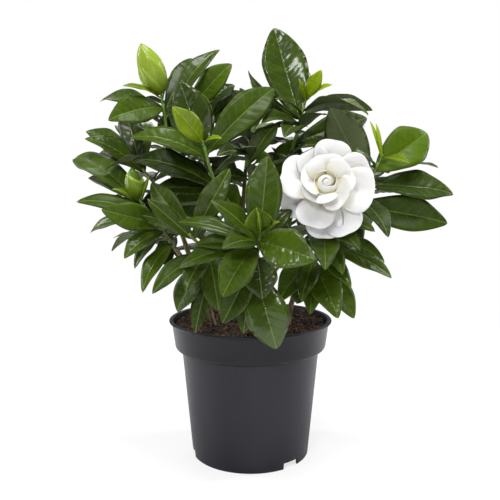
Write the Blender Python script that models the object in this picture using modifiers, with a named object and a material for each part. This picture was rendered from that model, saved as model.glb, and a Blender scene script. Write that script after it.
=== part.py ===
"""Potted gardenia: a young Gardenia jasminoides in a 13 cm nursery pot, with one open bloom.

Metres, +Z up. The origin is the centre of the pot's footprint, on the ground, and the
bloom looks along -Y. Places in the tables below are in millimetres.

Every leaf is a thin blade from its node on a green shoot to its tip. Leaves are placed one
after another, and a leaf that would pass through what is already there is bent clear of it.
"""
import random
from copy import copy
from math import cos, pi, radians, sin

import bmesh
import bpy
from mathutils import Matrix, Vector
from mathutils.bvhtree import BVHTree

MM = 0.001
GAP = 0.3               # clearance between separate pieces that touch

# ---- pot, mm -------------------------------------------------------------
POT_HEIGHT = 110.0
LIP_RADIUS = 65.0
LIP_THICK = 2.6
COLLAR_TOP_RADIUS = 62.0
COLLAR_FOOT_RADIUS = 60.4
COLLAR_FOOT = 87.0      # height of the collar's lower edge
BODY_TOP_RADIUS = 54.8
BODY_TOP = 84.5
BASE_RADIUS = 47.0
WALL = 1.6
FLOOR_LIFT = 6.0        # the floor plate stands this far above the bottom edge
FLOOR_THICK = 1.8
NOTCH_WIDTH = 15.0
NOTCH_HEIGHT = 5.0
NOTCH_TURNS = (42.0, 162.0, 282.0)   # degrees round from the front, towards +X
DRAIN_HOLES = 5
DRAIN_RADIUS = 4.0
DRAIN_RING = 30.0
POT_SIDES = 32

# ---- soil, mm ------------------------------------------------------------
SOIL_TOP = 105.0
SOIL_CRUMB = 1.4        # height of its lumps
SOIL_RINGS = 5
SOIL_SIDES = 24
ROOT_DEPTH = 50.0       # height at which the cuttings' stems end in the soil

# ---- blades, mm ----------------------------------------------------------
BLADE_THICK = 1.2       # along the rib, thinning to the edges
ROOT_WIDTH = 1.8
WIDE_LEAF = 26.0        # wider leaves have the finer rows
FINE_ROWS = (0.0, 0.22, 0.52, 0.82, 1.0)
PLAIN_ROWS = (0.0, 0.32, 0.72, 1.0)
CLEARANCE = 0.45        # a leaf keeps this far from what it passes
SHOOT_RADIUS = 1.3
STALK_RADIUS = 0.95     # of a tip's or a bud's own stalk
LIMB_END_RADIUS = 1.5   # a woody limb thins to this where its shoot goes on
SIDE_LIMB = 0.75        # a side limb's thickness beside its trunk's
SHOOT_FOOT = 1.5        # a shoot runs on straight from its limb for this long
LEAF_OFFSET = 0.5       # a leaf springs this far off its stem's middle
WELD = 0.02             # points closer than this are one point
SPREAD_BACK = 118.0     # no leaf reaches further back than the front ones reach forward
WHORL_SIZE = 3          # gardenia leaves stand in threes
WHORL_STEP = 60         # degrees from one whorl to the next
LOWEST_RISE = -12       # degrees above level of a leaf at a shoot's foot
CROWN_RISE = 46         # degrees more than that at its crown
FRONT_SHARE = 0.35      # cosine from the front within which an open-fronted whorl has no leaf

# ---- where a leaf's upper face looks --------------------------------------
UP = (0, 0, 1)
FRONT = (0, -1, 0.25)
UP_FRONT = (0, -1, 1)
UP_BACK = (0, 1, 1)
BACK = (0, 1, 0.3)
LEFT = (-1, -0.2, 0.3)
RIGHT = (1, -0.2, 0.3)

# ---- woody stems, mm -------------------------------------------------------
# radius, then limbs; the first limb is the rooted trunk, the others spring from it
PLANTS = {
    "stem_left": (2.6, (
        ((-26, -8, ROOT_DEPTH), (-29, -11, 106), (-42, -16, 148), (-55, -12, 186), (-60, -12, 224)),
        ((-42, -16, 148), (-50, -26, 160), (-57, -34, 172)),
        ((-55, -12, 186), (-64, -2, 196), (-70, 7, 206)),
        ((-42, -16, 148), (-52, -2, 154), (-60, 10, 160)),
    )),
    "stem_centre": (2.8, (
        ((2, 8, ROOT_DEPTH), (-1, 8, 106), (-4, 6, 160), (-6, 6, 192), (-4, 20, 228)),
        ((-6, 6, 190), (-14, -10, 200), (-20, -22, 208)),
        ((-4, 6, 165), (-20, 4, 192), (-28, 2, 216)),
        ((-4, 6, 160), (8, 4, 186), (18, 1, 207)),
        ((-4, 6, 160), (0, -12, 184), (0, -24, 204)),
        ((-3, 7, 140), (-10, 14, 158), (-16, 18, 174)),
        ((-2, 7, 132), (8, 8, 148), (14, 10, 162)),
    )),
    "stem_front": (2.4, (
        ((-4, -28, ROOT_DEPTH), (-5, -31, 106), (-6, -42, 130), (-2, -58, 146), (1, -66, 156)),
        ((-6, -41, 128), (-16, -50, 146), (-24, -57, 160)),
    )),
    "stem_right": (2.6, (
        ((28, -2, ROOT_DEPTH), (30, -4, 106), (38, -10, 140), (54, -16, 166), (68, -21, 186)),
        ((37, -9, 136), (41, -20, 144), (44, -28, 152)),
        ((54, -16, 166), (58, 4, 176), (62, 18, 184)),
    )),
    "stem_back": (2.7, (
        ((4, 34, ROOT_DEPTH), (4, 37, 106), (2, 44, 150), (2, 48, 180), (1, 54, 210)),
        ((2, 43, 145), (-14, 42, 168), (-30, 44, 190)),
        ((2, 46, 165), (18, 44, 184), (32, 42, 200)),
        ((4, 38, 116), (-8, 50, 130), (-20, 58, 140)),
        ((4, 39, 122), (16, 50, 134), (26, 57, 144)),
    )),
}

# ---- leafy shoots, mm -------------------------------------------------------
# the plant and limb that carries it, its crown, and the whorls of further leaves that
# it has by rule: heights along the shoot, leaf length, first direction, and whether the
# whorls leave the front to the leaves placed by hand
SHOOTS = {
    "shoot_top_left": ("stem_left", 0, (-66, -17, 278), (0.12, 0.4, 0.68), 52, 150, True),
    "shoot_left": ("stem_left", 1, (-78, -41, 203), (0.3, 0.7), 44, 170, True),
    "shoot_left_rear": ("stem_left", 2, (-92, 22, 233), (0.15, 0.5), 50, 150, True),
    "shoot_left_low": ("stem_left", 3, (-86, 28, 178), (0.15, 0.5, 0.85), 46, 95, False),
    "shoot_centre": ("stem_centre", 0, (8, 32, 282), (0.15, 0.45, 0.72, 0.95), 54, 30, False),
    "shoot_left_centre": ("stem_centre", 1, (-33, -46, 245), (0.1, 0.5), 50, 180, True),
    "shoot_top_centre": ("stem_centre", 2, (-50, 0, 286), (0.12, 0.38, 0.65), 54, 140, True),
    "shoot_top_right": ("stem_centre", 3, (41, -11, 277), (0.12, 0.38, 0.62), 54, 120, True),
    "shoot_centre_front": ("stem_centre", 4, (-2, -42, 240), (0.2, 0.5), 46, 160, True),
    "shoot_core_left": ("stem_centre", 5, (-26, 16, 226), (0.15, 0.45, 0.75, 0.95), 46, 40, False),
    "shoot_core_right": ("stem_centre", 6, (22, 12, 216), (0.15, 0.45, 0.75, 0.95), 46, 75, False),
    "shoot_front": ("stem_front", 0, (6, -92, 184), (0.2,), 40, 180, True),
    "shoot_front_left": ("stem_front", 1, (-42, -75, 185), (0.25,), 40, 180, True),
    "shoot_right": ("stem_right", 0, (94, -35, 234), (0.15, 0.4, 0.7), 50, 140, True),
    "shoot_bloom": ("stem_right", 1, (54, -50, 200), (0.2, 0.6), 44, 150, True),
    "shoot_right_rear": ("stem_right", 2, (98, 36, 212), (0.2, 0.6, 0.92), 54, 20, False),
    "shoot_rear_top": ("stem_back", 0, (-4, 84, 262), (0.2, 0.55, 0.88), 60, 15, False),
    "shoot_rear_left": ("stem_back", 1, (-58, 72, 238), (0.2, 0.55, 0.88), 60, 50, False),
    "shoot_rear_right": ("stem_back", 2, (62, 66, 250), (0.2, 0.55, 0.88), 60, 70, False),
    "shoot_rear_low_left": ("stem_back", 3, (-46, 86, 172), (0.25, 0.6, 0.92), 52, 10, False),
    "shoot_rear_low_right": ("stem_back", 4, (50, 88, 170), (0.25, 0.6, 0.92), 52, 40, False),
}

# ---- leaves placed by hand: height on the shoot, tip, width, face, arch ------
LEAVES = {
    "shoot_rear_top": (
        (0.60, (6, 120, 240), 24, UP_BACK, 0.10),
    ),
    "shoot_top_left": (
        (0.94, (-100, -50, 267), 26, FRONT, 0.10),
        (0.88, (-121, 15, 284), 19, UP_FRONT, 0.10),
        (0.80, (-83, -36, 266), 14, UP_FRONT, 0.06),
        (0.78, (-24, 5, 322), 18, UP_FRONT, 0.10),
        (0.76, (-47, 20, 318), 20, FRONT, 0.06),
        (0.35, (-61, 2, 275), 22, FRONT, 0.05),
    ),
    "shoot_left_centre": (
        (0.80, (-50, -44, 290), 35, FRONT, -0.05),
        (0.88, (18, -22, 289), 28, FRONT, 0.12),
        (0.80, (-85, -46, 252), 22, UP_FRONT, 0.12),
        (0.25, (-88, -30, 236), 27, UP_FRONT, 0.12),
        (0.12, (-75, -32, 212), 20, UP_FRONT, 0.10),
    ),
    "shoot_centre_front": (
        (0.90, (-26, -64, 238), 17, UP_FRONT, 0.16),
        (0.86, (6, -70, 243), 17, UP_FRONT, 0.14),
        (0.80, (20, -32, 262), 18, UP_FRONT, 0.10),
        (0.60, (14, -60, 236), 18, UP_FRONT, 0.12),
        (0.45, (-24, -52, 222), 19, UP_FRONT, 0.12),
    ),
    "shoot_top_centre": (
        (0.85, (-21, -6, 314), 23, FRONT, 0.08),
        (0.70, (-13, 20, 297), 21, UP_FRONT, 0.10),
        (0.50, (-31, -27, 262), 26, UP_FRONT, 0.10),
        (0.62, (-7, 18, 298), 20, FRONT, 0.06),
    ),
    "shoot_top_right": (
        (0.86, (18, -2, 336), 39, FRONT, -0.04),
        (0.93, (83, -50, 267), 24, UP, 0.14),
        (0.88, (98, 20, 277), 22, UP_BACK, 0.15),
        (0.90, (18, -40, 279), 12, UP_FRONT, 0.08),
        (0.80, (8, -42, 262), 17, UP_FRONT, 0.12),
        (0.72, (24, -52, 255), 18, UP_FRONT, 0.12),
        (0.70, (55, -42, 268), 17, UP, 0.10),
        (0.85, (-3, 15, 307), 9, LEFT, 0.10),
        (0.78, (-14, 14, 298), 15, UP_FRONT, 0.10),
        (0.42, (49, -38, 247), 18, UP_FRONT, 0.10),
        (0.35, (26, -34, 244), 19, UP_FRONT, 0.10),
        (0.60, (94, 15, 270), 24, FRONT, 0.06),
        (0.15, (31, 5, 254), 26, FRONT, 0.05),
    ),
    "shoot_right": (
        (0.86, (134, -30, 256), 35, FRONT, 0.08),
        (0.88, (149, 5, 232), 13, UP, 0.04),
        (0.90, (70, -56, 241), 13, UP_FRONT, 0.12),
        (0.72, (58, -34, 273), 33, BACK, 0.06),
        (0.66, (149, -38, 212), 31, UP_FRONT, 0.03),
        (0.34, (142, -48, 190), 30, FRONT, 0.04),
        (0.40, (94, -75, 184), 20, UP_FRONT, 0.12),
    ),
    "shoot_left": (
        (0.92, (-148.5, 34, 241), 26, UP_FRONT, 0.08),
        (0.86, (-137, 6, 223), 16, UP_FRONT, 0.10),
        (0.66, (-120, -58, 213), 17, UP_FRONT, 0.12),
        (0.50, (-102, -68, 201), 22, FRONT, 0.12),
        (0.62, (-124, -18, 181), 15, UP_FRONT, 0.12),
        (0.36, (-89, -72, 183), 18, UP_FRONT, 0.12),
        (0.18, (-109, -8, 166), 19, UP, 0.12),
        (0.16, (-82, -72, 172), 14, UP, 0.16),
        (0.06, (-76, -80, 154), 15, UP_FRONT, 0.14),
        (0.48, (-52, -62, 194), 20, UP_FRONT, 0.12),
        (0.30, (-75, -15, 215), 24, FRONT, 0.05),
    ),
    "shoot_front_left": (
        (0.84, (-68, -84, 209), 14, FRONT, 0.04),
        (0.80, (-77, -58, 197), 17, UP_FRONT, 0.10),
        (0.86, (-71, -48, 219), 18, FRONT, 0.10),
        (0.84, (-14, -77, 229), 19, FRONT, 0.10),
        (0.35, (-67, -80, 145), 17, UP_FRONT, 0.14),
        (0.34, (-22, -68, 130), 20, UP_FRONT, 0.14),
        (0.30, (-43, -90, 148), 17, UP_FRONT, 0.16),
        (0.14, (-52, -63, 128), 22, UP_FRONT, 0.14),
        (0.06, (-41, -66, 114), 15, UP_FRONT, 0.10),
    ),
    "shoot_front": (
        (0.80, (11, -90, 237), 27, FRONT, -0.03),
        (0.80, (-25, -98, 209), 17, UP_FRONT, 0.10),
        (0.76, (-49, -77, 194), 13, UP_FRONT, 0.12),
        (0.86, (-17, -112, 186), 19, UP_FRONT, 0.12),
        (0.66, (-37, -84, 179), 15, UP_FRONT, 0.12),
        (0.58, (-48, -87, 163), 18, UP_FRONT, 0.16),
        (0.72, (-18, -107, 148), 27, UP_FRONT, 0.16),
        (0.86, (40, -116, 173), 30, FRONT, 0.12),
        (0.74, (28, -74, 202), 15, UP_FRONT, 0.10),
        (0.30, (-19, -84, 125), 21, FRONT, 0.14),
        (0.45, (8, -94, 144), 26, UP_FRONT, 0.12),
        (0.08, (18, -80, 106), 33, FRONT, 0.14),
        (0.06, (-5, -70, 114), 15, UP_FRONT, 0.10),
    ),
    "shoot_bloom": (
        (0.66, (49, -95, 164), 23, UP_FRONT, 0.12),
        (0.74, (72, -80, 168), 18, UP_FRONT, 0.12),
        (0.52, (63, -77, 158), 17, UP_FRONT, 0.12),
        (0.84, (87, -70, 182), 17, UP_FRONT, 0.10),
        (0.60, (95, -60, 164), 18, UP_FRONT, 0.12),
        (0.46, (104, -44, 150), 19, UP_FRONT, 0.12),
        (0.34, (70, -70, 148), 15, UP_FRONT, 0.12),
        (0.30, (20, -62, 136), 22, UP_FRONT, 0.12),
        (0.12, (42, -67, 128), 20, UP_FRONT, 0.12),
        (0.16, (59, -73, 122), 25, FRONT, 0.12),
        (0.08, (76, -50, 121), 23, UP_FRONT, 0.12),
        (0.24, (35, -78, 139), 17, UP_FRONT, 0.12),
        (0.05, (34, -46, 131), 22, FRONT, 0.08),
    ),
    "shoot_core_left": (
        (0.55, (-66, 6, 200), 26, FRONT, 0.05),
        (0.45, (-3, 2, 210), 28, FRONT, 0.05),
        (0.80, (-16, 6, 240), 26, FRONT, 0.05),
    ),
    "shoot_core_right": (
        (0.70, (14, 2, 234), 26, FRONT, 0.05),
    ),
    "shoot_left_low": (
        (0.10, (-76, -4, 163), 26, FRONT, 0.05),
        (0.55, (-88, 14, 196), 24, FRONT, 0.05),
    ),
    "shoot_left_rear": (
        (0.90, (-140, 48, 262), 22, UP_FRONT, 0.10),
        (0.80, (-131, 8, 254), 20, UP_FRONT, 0.10),
        (0.70, (-131, 54, 245), 22, UP_FRONT, 0.10),
        (0.76, (-131, 78, 260), 22, UP, 0.10),
        (0.88, (-112, 62, 271), 22, UP_FRONT, 0.10),
        (0.86, (-88, 54, 276), 17, FRONT, 0.10),
    ),
}

# ---- light young growth on a shoot's crown -----------------------------------
# node: shoot, bud tip and width (or None), young leaves: height on the stalk, tip, width, face
TIPS = {
    "bud_top_left": ("shoot_top_left", (-80, -26, 320), 22, 8, (
        (0.4, (-91, -41, 288), 9, UP_FRONT),
        (0.3, (-56, -17, 303), 4.5, LEFT),
    )),
    "bud_left": ("shoot_left", (-85, -48, 230), 15, 8, (
        (0.4, (-98, -52, 215), 6, UP_FRONT),
        (0.4, (-72, -50, 224), 4, FRONT),
    )),
    "tip_left_centre": ("shoot_left_centre", None, 0, 6, (
        (0.5, (-52, -70, 270), 18, FRONT),
        (0.4, (-20, -62, 250), 7, UP_FRONT),
    )),
    "tip_top_right": ("shoot_top_right", None, 0, 6, (
        (0.9, (52, -26, 301), 12, FRONT),
        (0.8, (44, -22, 300), 7, RIGHT),
        (0.5, (60, -26, 291), 8, UP_FRONT),
        (0.6, (36, -24, 295), 5, FRONT),
    )),
    "tip_right": ("shoot_right", None, 0, 6, (
        (0.8, (87, -34, 264), 3, FRONT),
        (0.8, (91, -37, 262), 3, FRONT),
        (0.4, (111, -58, 233), 10, UP_FRONT),
    )),
    "tip_front": ("shoot_front", None, 0, 5, (
        (0.7, (4, -106, 204), 20, FRONT),
        (0.9, (5, -111, 202), 3.5, FRONT),
        (0.5, (18, -107, 196), 7, UP_FRONT),
    )),
    "tip_centre": ("shoot_centre", None, 0, 6, (
        (0.7, (0, 28, 300), 8, UP_FRONT),
        (0.5, (20, 40, 296), 8, UP),
    )),
    "tip_rear_top": ("shoot_rear_top", None, 0, 6, (
        (0.7, (-14, 92, 284), 12, BACK),
        (0.5, (8, 98, 276), 9, UP_BACK),
    )),
    "bud_rear_left": ("shoot_rear_left", (-64, 82, 266), 15, 8, (
        (0.4, (-80, 86, 250), 7, UP_BACK),
        (0.4, (-46, 84, 256), 6, UP_BACK),
    )),
    "tip_rear_right": ("shoot_rear_right", None, 0, 6, (
        (0.7, (70, 78, 272), 13, BACK),
        (0.5, (82, 66, 262), 9, UP),
    )),
    "tip_right_rear": ("shoot_right_rear", None, 0, 6, (
        (0.7, (112, 44, 228), 11, UP_BACK),
        (0.5, (100, 54, 230), 7, BACK),
    )),
}

# ---- bloom, mm -----------------------------------------------------------------
BLOOM_THROAT = (51.5, -71, 217)
BLOOM_AXIS = (-0.08, -1, 0.28)
STALK_LENGTH = 5.0
CALYX_LENGTH = 8.0
CALYX_RADIUS = 3.4
CALYX_LOBES = 6
TUBE_RADIUS = 2.4
# each petal: its whorl from the outside in, clock angle, reach, lift along the axis, width
PETALS = (
    (0, 206, 34, 0, 25), (0, 268, 36, 0, 27), (0, 296, 36, 1, 29), (0, 50, 27, 0, 25), (0, 137, 27, 0, 25),
    (1, 79, 33, 6, 27), (1, 24, 33, 6, 28), (1, 350, 32, 7, 32), (1, 249, 31, 7, 28), (1, 165, 31, 7, 33),
    (1, 118, 27, 7, 26),
    (2, 95, 19, 12, 27), (2, 20, 18, 12, 25), (2, 310, 18, 12, 25), (2, 235, 17, 12, 25), (2, 165, 18, 12, 25),
    (3, 70, 8, 17, 13), (3, 190, 8, 17, 13), (3, 310, 8, 17, 13),
)
PETAL_ARCH = (-0.10, -0.04, 0.16, 0.30)     # by whorl
PETAL_CUP = (0.05, 0.12, 0.35, 0.70)


def vec(point):
    return Vector(point) * MM


def clear_scene():
    for item in list(bpy.data.objects):
        bpy.data.objects.remove(item, do_unlink=True)


def new_collection(name):
    collection = bpy.data.collections.new(name)
    bpy.context.scene.collection.children.link(collection)
    return collection


def material(name, colour, roughness):
    made = bpy.data.materials.new(name)
    made.use_nodes = True
    shader = made.node_tree.nodes["Principled BSDF"]
    shader.inputs["Base Color"].default_value = (*colour, 1.0)
    shader.inputs["Roughness"].default_value = roughness
    shader.inputs["Metallic"].default_value = 0.0
    return made


def add_object(name, mesh, collection):
    made = bpy.data.objects.new(name, mesh)
    collection.objects.link(made)
    return made


def paint(piece, finish):
    piece.data.materials.clear()
    piece.data.materials.append(finish)
    for face in piece.data.polygons:
        face.material_index = 0


def mesh_from(bm, name):
    mesh = bpy.data.meshes.new(name)
    bm.to_mesh(mesh)
    bm.free()
    return mesh


def as_mesh(source, weld=False):
    """The evaluated object as a plain mesh object in the same place; the source is removed."""
    bpy.context.view_layer.update()
    depsgraph = bpy.context.evaluated_depsgraph_get()
    mesh = bpy.data.meshes.new_from_object(source.evaluated_get(depsgraph))
    if weld:
        bm = bmesh.new()
        bm.from_mesh(mesh)
        bmesh.ops.remove_doubles(bm, verts=bm.verts[:], dist=WELD * MM)
        bm.to_mesh(mesh)
        bm.free()
    name, collection, place = source.name, source.users_collection[0], source.matrix_world.copy()
    bpy.data.objects.remove(source, do_unlink=True)
    made = add_object(name, mesh, collection)
    made.matrix_world = place
    return made


def tube(name, points, radius, collection, end_radius=None, rounding=1):
    """A round stem along a list of points in metres, made a closed mesh."""
    curve = bpy.data.curves.new(name, "CURVE")
    curve.dimensions = "3D"
    curve.bevel_depth = radius * MM
    curve.bevel_resolution = rounding
    curve.use_fill_caps = True
    spline = curve.splines.new("POLY")
    spline.points.add(len(points) - 1)
    last = len(points) - 1
    for index, (slot, place) in enumerate(zip(spline.points, points)):
        slot.co = (*place, 1.0)
        slot.radius = 1.0 if end_radius is None else 1.0 + (end_radius / radius - 1.0) * index / last
    return as_mesh(add_object(name, curve, collection), weld=True)


def union(name, base, pieces, collection):
    """The base and all the pieces joined in one body."""
    group = bpy.data.collections.new(name + "_pieces")
    bpy.context.scene.collection.children.link(group)
    for piece in pieces:
        for owner in list(piece.users_collection):
            owner.objects.unlink(piece)
        group.objects.link(piece)
    join = base.modifiers.new("join", "BOOLEAN")
    join.operation = "UNION"
    join.operand_type = "COLLECTION"
    join.collection = group
    join.solver = "MANIFOLD"
    made = as_mesh(base)
    for piece in pieces:
        bpy.data.objects.remove(piece, do_unlink=True)
    bpy.data.collections.remove(group)
    keep_main_body(made.data)
    made.name = name
    return made


def keep_main_body(mesh):
    """Fills any hollow that the joining sealed, and drops loose scraps."""
    bm = bmesh.new()
    bm.from_mesh(mesh)
    left, bodies = set(bm.verts), []
    while left:
        body, edge_of_body = set(), [min(left, key=lambda vert: vert.index)]
        while edge_of_body:
            vert = edge_of_body.pop()
            if vert not in body:
                body.add(vert)
                edge_of_body += [edge.other_vert(vert) for edge in vert.link_edges]
        left -= body
        bodies.append(body)
    bodies.sort(key=len)
    spare = [vert for body in bodies[:-1] for vert in body]
    bmesh.ops.delete(bm, geom=spare, context="VERTS")
    bm.to_mesh(mesh)
    bm.free()


# ---- shape of one blade ----------------------------------------------------------

def rounded(points, count):
    """The points of a soft curve through a limb's own points, in metres."""
    knots = [vec(p) for p in points]
    ends = [2 * knots[0] - knots[1]] + knots + [2 * knots[-1] - knots[-2]]
    route = []
    for before, start, stop, after in zip(ends, ends[1:], ends[2:], ends[3:]):
        for step in range(count):
            t = step / count
            route.append(0.5 * (2 * start + (stop - before) * t
                                + (2 * before - 5 * start + 4 * stop - after) * t * t
                                + (3 * start - before - 3 * stop + after) * t ** 3))
    return route + [knots[-1]]


def along(route, t):
    """The point a share t of the way along a route."""
    lengths = [(b - a).length for a, b in zip(route, route[1:])]
    left = t * sum(lengths)
    for start, stop, length in zip(route, route[1:], lengths):
        if left <= length:
            return start.lerp(stop, left / length)
        left -= length
    return route[-1].copy()


class Blade:
    """A leaf or petal from root to tip, with its upper face looking one way."""

    def __init__(self, root, tip, width, face, arch, fold=0.25, wave=0.05, twist=0.0, phase=0.0,
                 blunt=0.0, cup=1.0, widest=0.54):
        self.root, self.tip, self.width = root, tip, width * MM
        self.face, self.arch, self.fold = Vector(face), arch, fold
        self.wave, self.twist, self.phase = wave, twist, phase
        self.blunt, self.cup = blunt, cup
        self.widest = widest

    def half_width(self, t):
        rise = self.widest / (1.0 - self.widest)
        fall = 0.85 - 0.48 * self.blunt
        peak = self.widest ** (fall * rise) * (1.0 - self.widest) ** fall
        outline = t ** (fall * rise) * max(0.0, 1.0 - t) ** fall / peak
        end = 0.45 * self.blunt * max(0.0, t - 0.6) / 0.4
        return 0.5 * self.width * max(outline, end) + 0.5 * ROOT_WIDTH * MM * (1.0 - t) ** 3

    def normal(self, t):
        """Where the upper face looks, a share t towards the tip."""
        ahead = (self.tip - self.root).normalized()
        level = (self.face - self.face.dot(ahead) * ahead).normalized()
        return Matrix.Rotation(self.twist * (t - 0.5), 3, ahead) @ level

    def point(self, t, s):
        """The middle of the blade a share t towards the tip and s across, from -1 to 1."""
        chord = self.tip - self.root
        normal = self.normal(t)
        side = chord.normalized().cross(normal)
        half = self.half_width(t)
        lift = self.arch * chord.length * 4 * t * (1 - t)
        lift += half * self.fold * abs(s) ** self.cup
        lift += self.wave * self.width * s * s * sin(9.0 * t + self.phase + 0.8 * s) * sin(pi * t)
        return self.root + chord * t + side * half * s + normal * lift

    def bent(self, turn, lift):
        """The same blade turned about the vertical and raised at its root, in degrees."""
        chord = self.tip - self.root
        flat = Vector((-chord.y, chord.x, 0.0))
        if flat.length < 1e-6:
            flat = Vector((1.0, 0.0, 0.0))
        swing = Matrix.Rotation(radians(turn), 3, "Z") @ Matrix.Rotation(radians(-lift), 3, flat)
        other = copy(self)
        other.tip = self.root + swing @ chord
        return other

    def shell(self, start, margin):
        """A closed sleeve round the blade from share start to the tip, for the crossing test."""
        points = []
        stations = [start + (1.0 - start) * k / 5 for k in range(6)]
        for t in stations:
            normal = self.normal(t)
            grow = 1.0 + margin / max(self.half_width(t), 0.5 * MM)
            for s, half in ((-grow, margin), (0.0, 0.5 * BLADE_THICK * MM + margin), (grow, margin)):
                middle = self.point(t, s)
                points.append(middle + normal * (half + 0.1 * MM))
                points.append(middle - normal * (half + 0.1 * MM))
        faces = []
        for row in range(5):
            a, b = 6 * row, 6 * row + 6
            for low, high in ((0, 2), (2, 4), (5, 3), (3, 1), (4, 5), (1, 0)):
                faces.append((a + low, a + high, b + high, b + low))
        faces += [(0, 1, 3, 2), (2, 3, 5, 4), (30, 32, 33, 31), (32, 34, 35, 33)]
        return points, faces


# ---- what is already in place ------------------------------------------------------

BENDS = ((0, 0),) + tuple(
    (size * a, size * b)
    for size in (4, 7, 11, 16, 22)
    for a, b in ((1, 0), (-1, 0), (0, 1), (0, -1), (0.7, 0.7), (-0.7, 0.7), (0.7, -0.7), (-0.7, -0.7))
)


def sleeve(route, radius):
    """A six-sided sleeve round a stem's route, for the crossing test."""
    points, faces = [], []
    for index, place in enumerate(route):
        ahead = (route[min(index + 1, len(route) - 1)] - route[max(index - 1, 0)]).normalized()
        side = ahead.orthogonal().normalized()
        for k in range(6):
            points.append(place + Matrix.Rotation(pi * k / 3, 3, ahead) @ side * radius * MM)
    for row in range(len(route) - 1):
        for k in range(6):
            a, b = 6 * row + k, 6 * row + (k + 1) % 6
            faces.append((a, b, b + 6, a + 6))
    top = 6 * (len(route) - 1)
    faces += [tuple(range(6)), tuple(range(top, top + 6))]
    return points, faces


class Growth:
    """Everything placed so far, for keeping new blades clear of it."""

    ROOT_SHARE = 0.3    # blades of one node meet at their roots, so only the rest is tested

    def __init__(self):
        self.placed = []

    def add_stem(self, owner, route, radius):
        tree = BVHTree.FromPolygons(*sleeve(route, radius))
        self.placed.append((owner, tree, tree))

    def add_blade(self, owner, blade):
        whole = BVHTree.FromPolygons(*blade.shell(0.0, 0.0))
        outer = BVHTree.FromPolygons(*blade.shell(self.ROOT_SHARE, 0.0))
        self.placed.append((owner, whole, outer))

    def is_clear(self, owner, blade, own=True):
        for t in (0.3, 0.5, 0.7, 0.85, 1.0):
            for s in (-1, 0, 1):
                place = blade.point(t, s) / MM
                if place.z < POT_HEIGHT + 1.5 and place.xy.length < LIP_RADIUS + 1.5:
                    return False
        whole = BVHTree.FromPolygons(*blade.shell(0.0, CLEARANCE * MM))
        outer = BVHTree.FromPolygons(*blade.shell(self.ROOT_SHARE, CLEARANCE * MM))
        for other, other_whole, other_outer in self.placed:
            if other == owner:
                if own and outer.overlap(other_outer):
                    return False
            elif whole.overlap(other_whole):
                return False
        return True

    def grow(self, owner, blade, own=True):
        """The blade with the least bend that is clear, or None."""
        for turn, lift in BENDS:
            tried = blade.bent(turn, lift)
            if self.is_clear(owner, tried, own):
                self.add_blade(owner, tried)
                return tried
        return None


# ---- the plant's plan: routes and blades, before any mesh is made -----------------------

def limb_routes(plant):
    """Each limb's route and its radius at both ends."""
    radius, limbs = PLANTS[plant]
    routes = []
    for index, points in enumerate(limbs):
        start = radius if index == 0 else radius * SIDE_LIMB
        routes.append((rounded(points, 2 if index == 0 else 1), start, LIMB_END_RADIUS))
    return routes


def shoot_route(name):
    plant, limb, crown = SHOOTS[name][:3]
    end = limb_routes(plant)[limb][0]
    ahead = (end[-1] - end[-2]).normalized()
    foot = end[-1] + ahead * GAP * MM
    start, stop = foot + ahead * SHOOT_FOOT * MM, vec(crown)
    lead = start + ahead * 0.4 * (stop - start).length
    bow = [start.lerp(lead, t).lerp(lead.lerp(stop, t), t) for t in (0.0, 0.33, 0.67, 1.0)]
    return [foot] + bow


def stalk_route(tip_name):
    shoot, bud_tip, bud_width, length = TIPS[tip_name][:4]
    end = shoot_route(shoot)
    ahead = (end[-1] - end[-2]).normalized()
    foot = end[-1] + ahead * GAP * MM
    return [foot, foot + ahead * length * MM]


def leaf_root(route, t, tip):
    """A leaf springs from just off the stem's middle, on the side of its tip."""
    middle = along(route, t)
    aside = (tip - middle)
    aside.z = 0.0
    return middle + aside.normalized() * LEAF_OFFSET * MM if aside.length > 1e-6 else middle


def whorl_blades(name, route, draw):
    """Whorls of leaves, each turned half a step from the one below."""
    heights, length, first, open_front = SHOOTS[name][3:]
    for index, t in enumerate(heights):
        for k in range(WHORL_SIZE):
            turn = first + WHORL_STEP * index + 360 / WHORL_SIZE * k + draw.uniform(-14, 14)
            rise = LOWEST_RISE + CROWN_RISE * t + draw.uniform(-10, 10)
            reach = length * (1.0 - 0.35 * max(0.0, t - 0.6) / 0.4) * draw.uniform(0.86, 1.08)
            width = reach * draw.uniform(0.44, 0.53)
            arch, twist = draw.uniform(0.08, 0.16), draw.uniform(-0.35, 0.35)
            phase = draw.uniform(0.0, 6.0)
            if open_front and cos(radians(turn)) > FRONT_SHARE:
                continue
            heading = Vector((sin(radians(turn)), -cos(radians(turn)), 0.0))
            slope = heading * cos(radians(rise)) + Vector(UP) * sin(radians(rise))
            tip = along(route, t) + slope * reach * MM
            if tip.y > SPREAD_BACK * MM:
                root = along(route, t)
                tip = root.lerp(tip, (SPREAD_BACK * MM - root.y) / (tip.y - root.y))
            yield Blade(leaf_root(route, t, tip), tip, width, UP, arch, twist=twist, phase=phase)


def bloom_frame():
    axis = Vector(BLOOM_AXIS).normalized()
    across = Vector(UP).cross(axis).normalized()
    upward = axis.cross(across).normalized()
    return vec(BLOOM_THROAT), axis, across, upward


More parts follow.
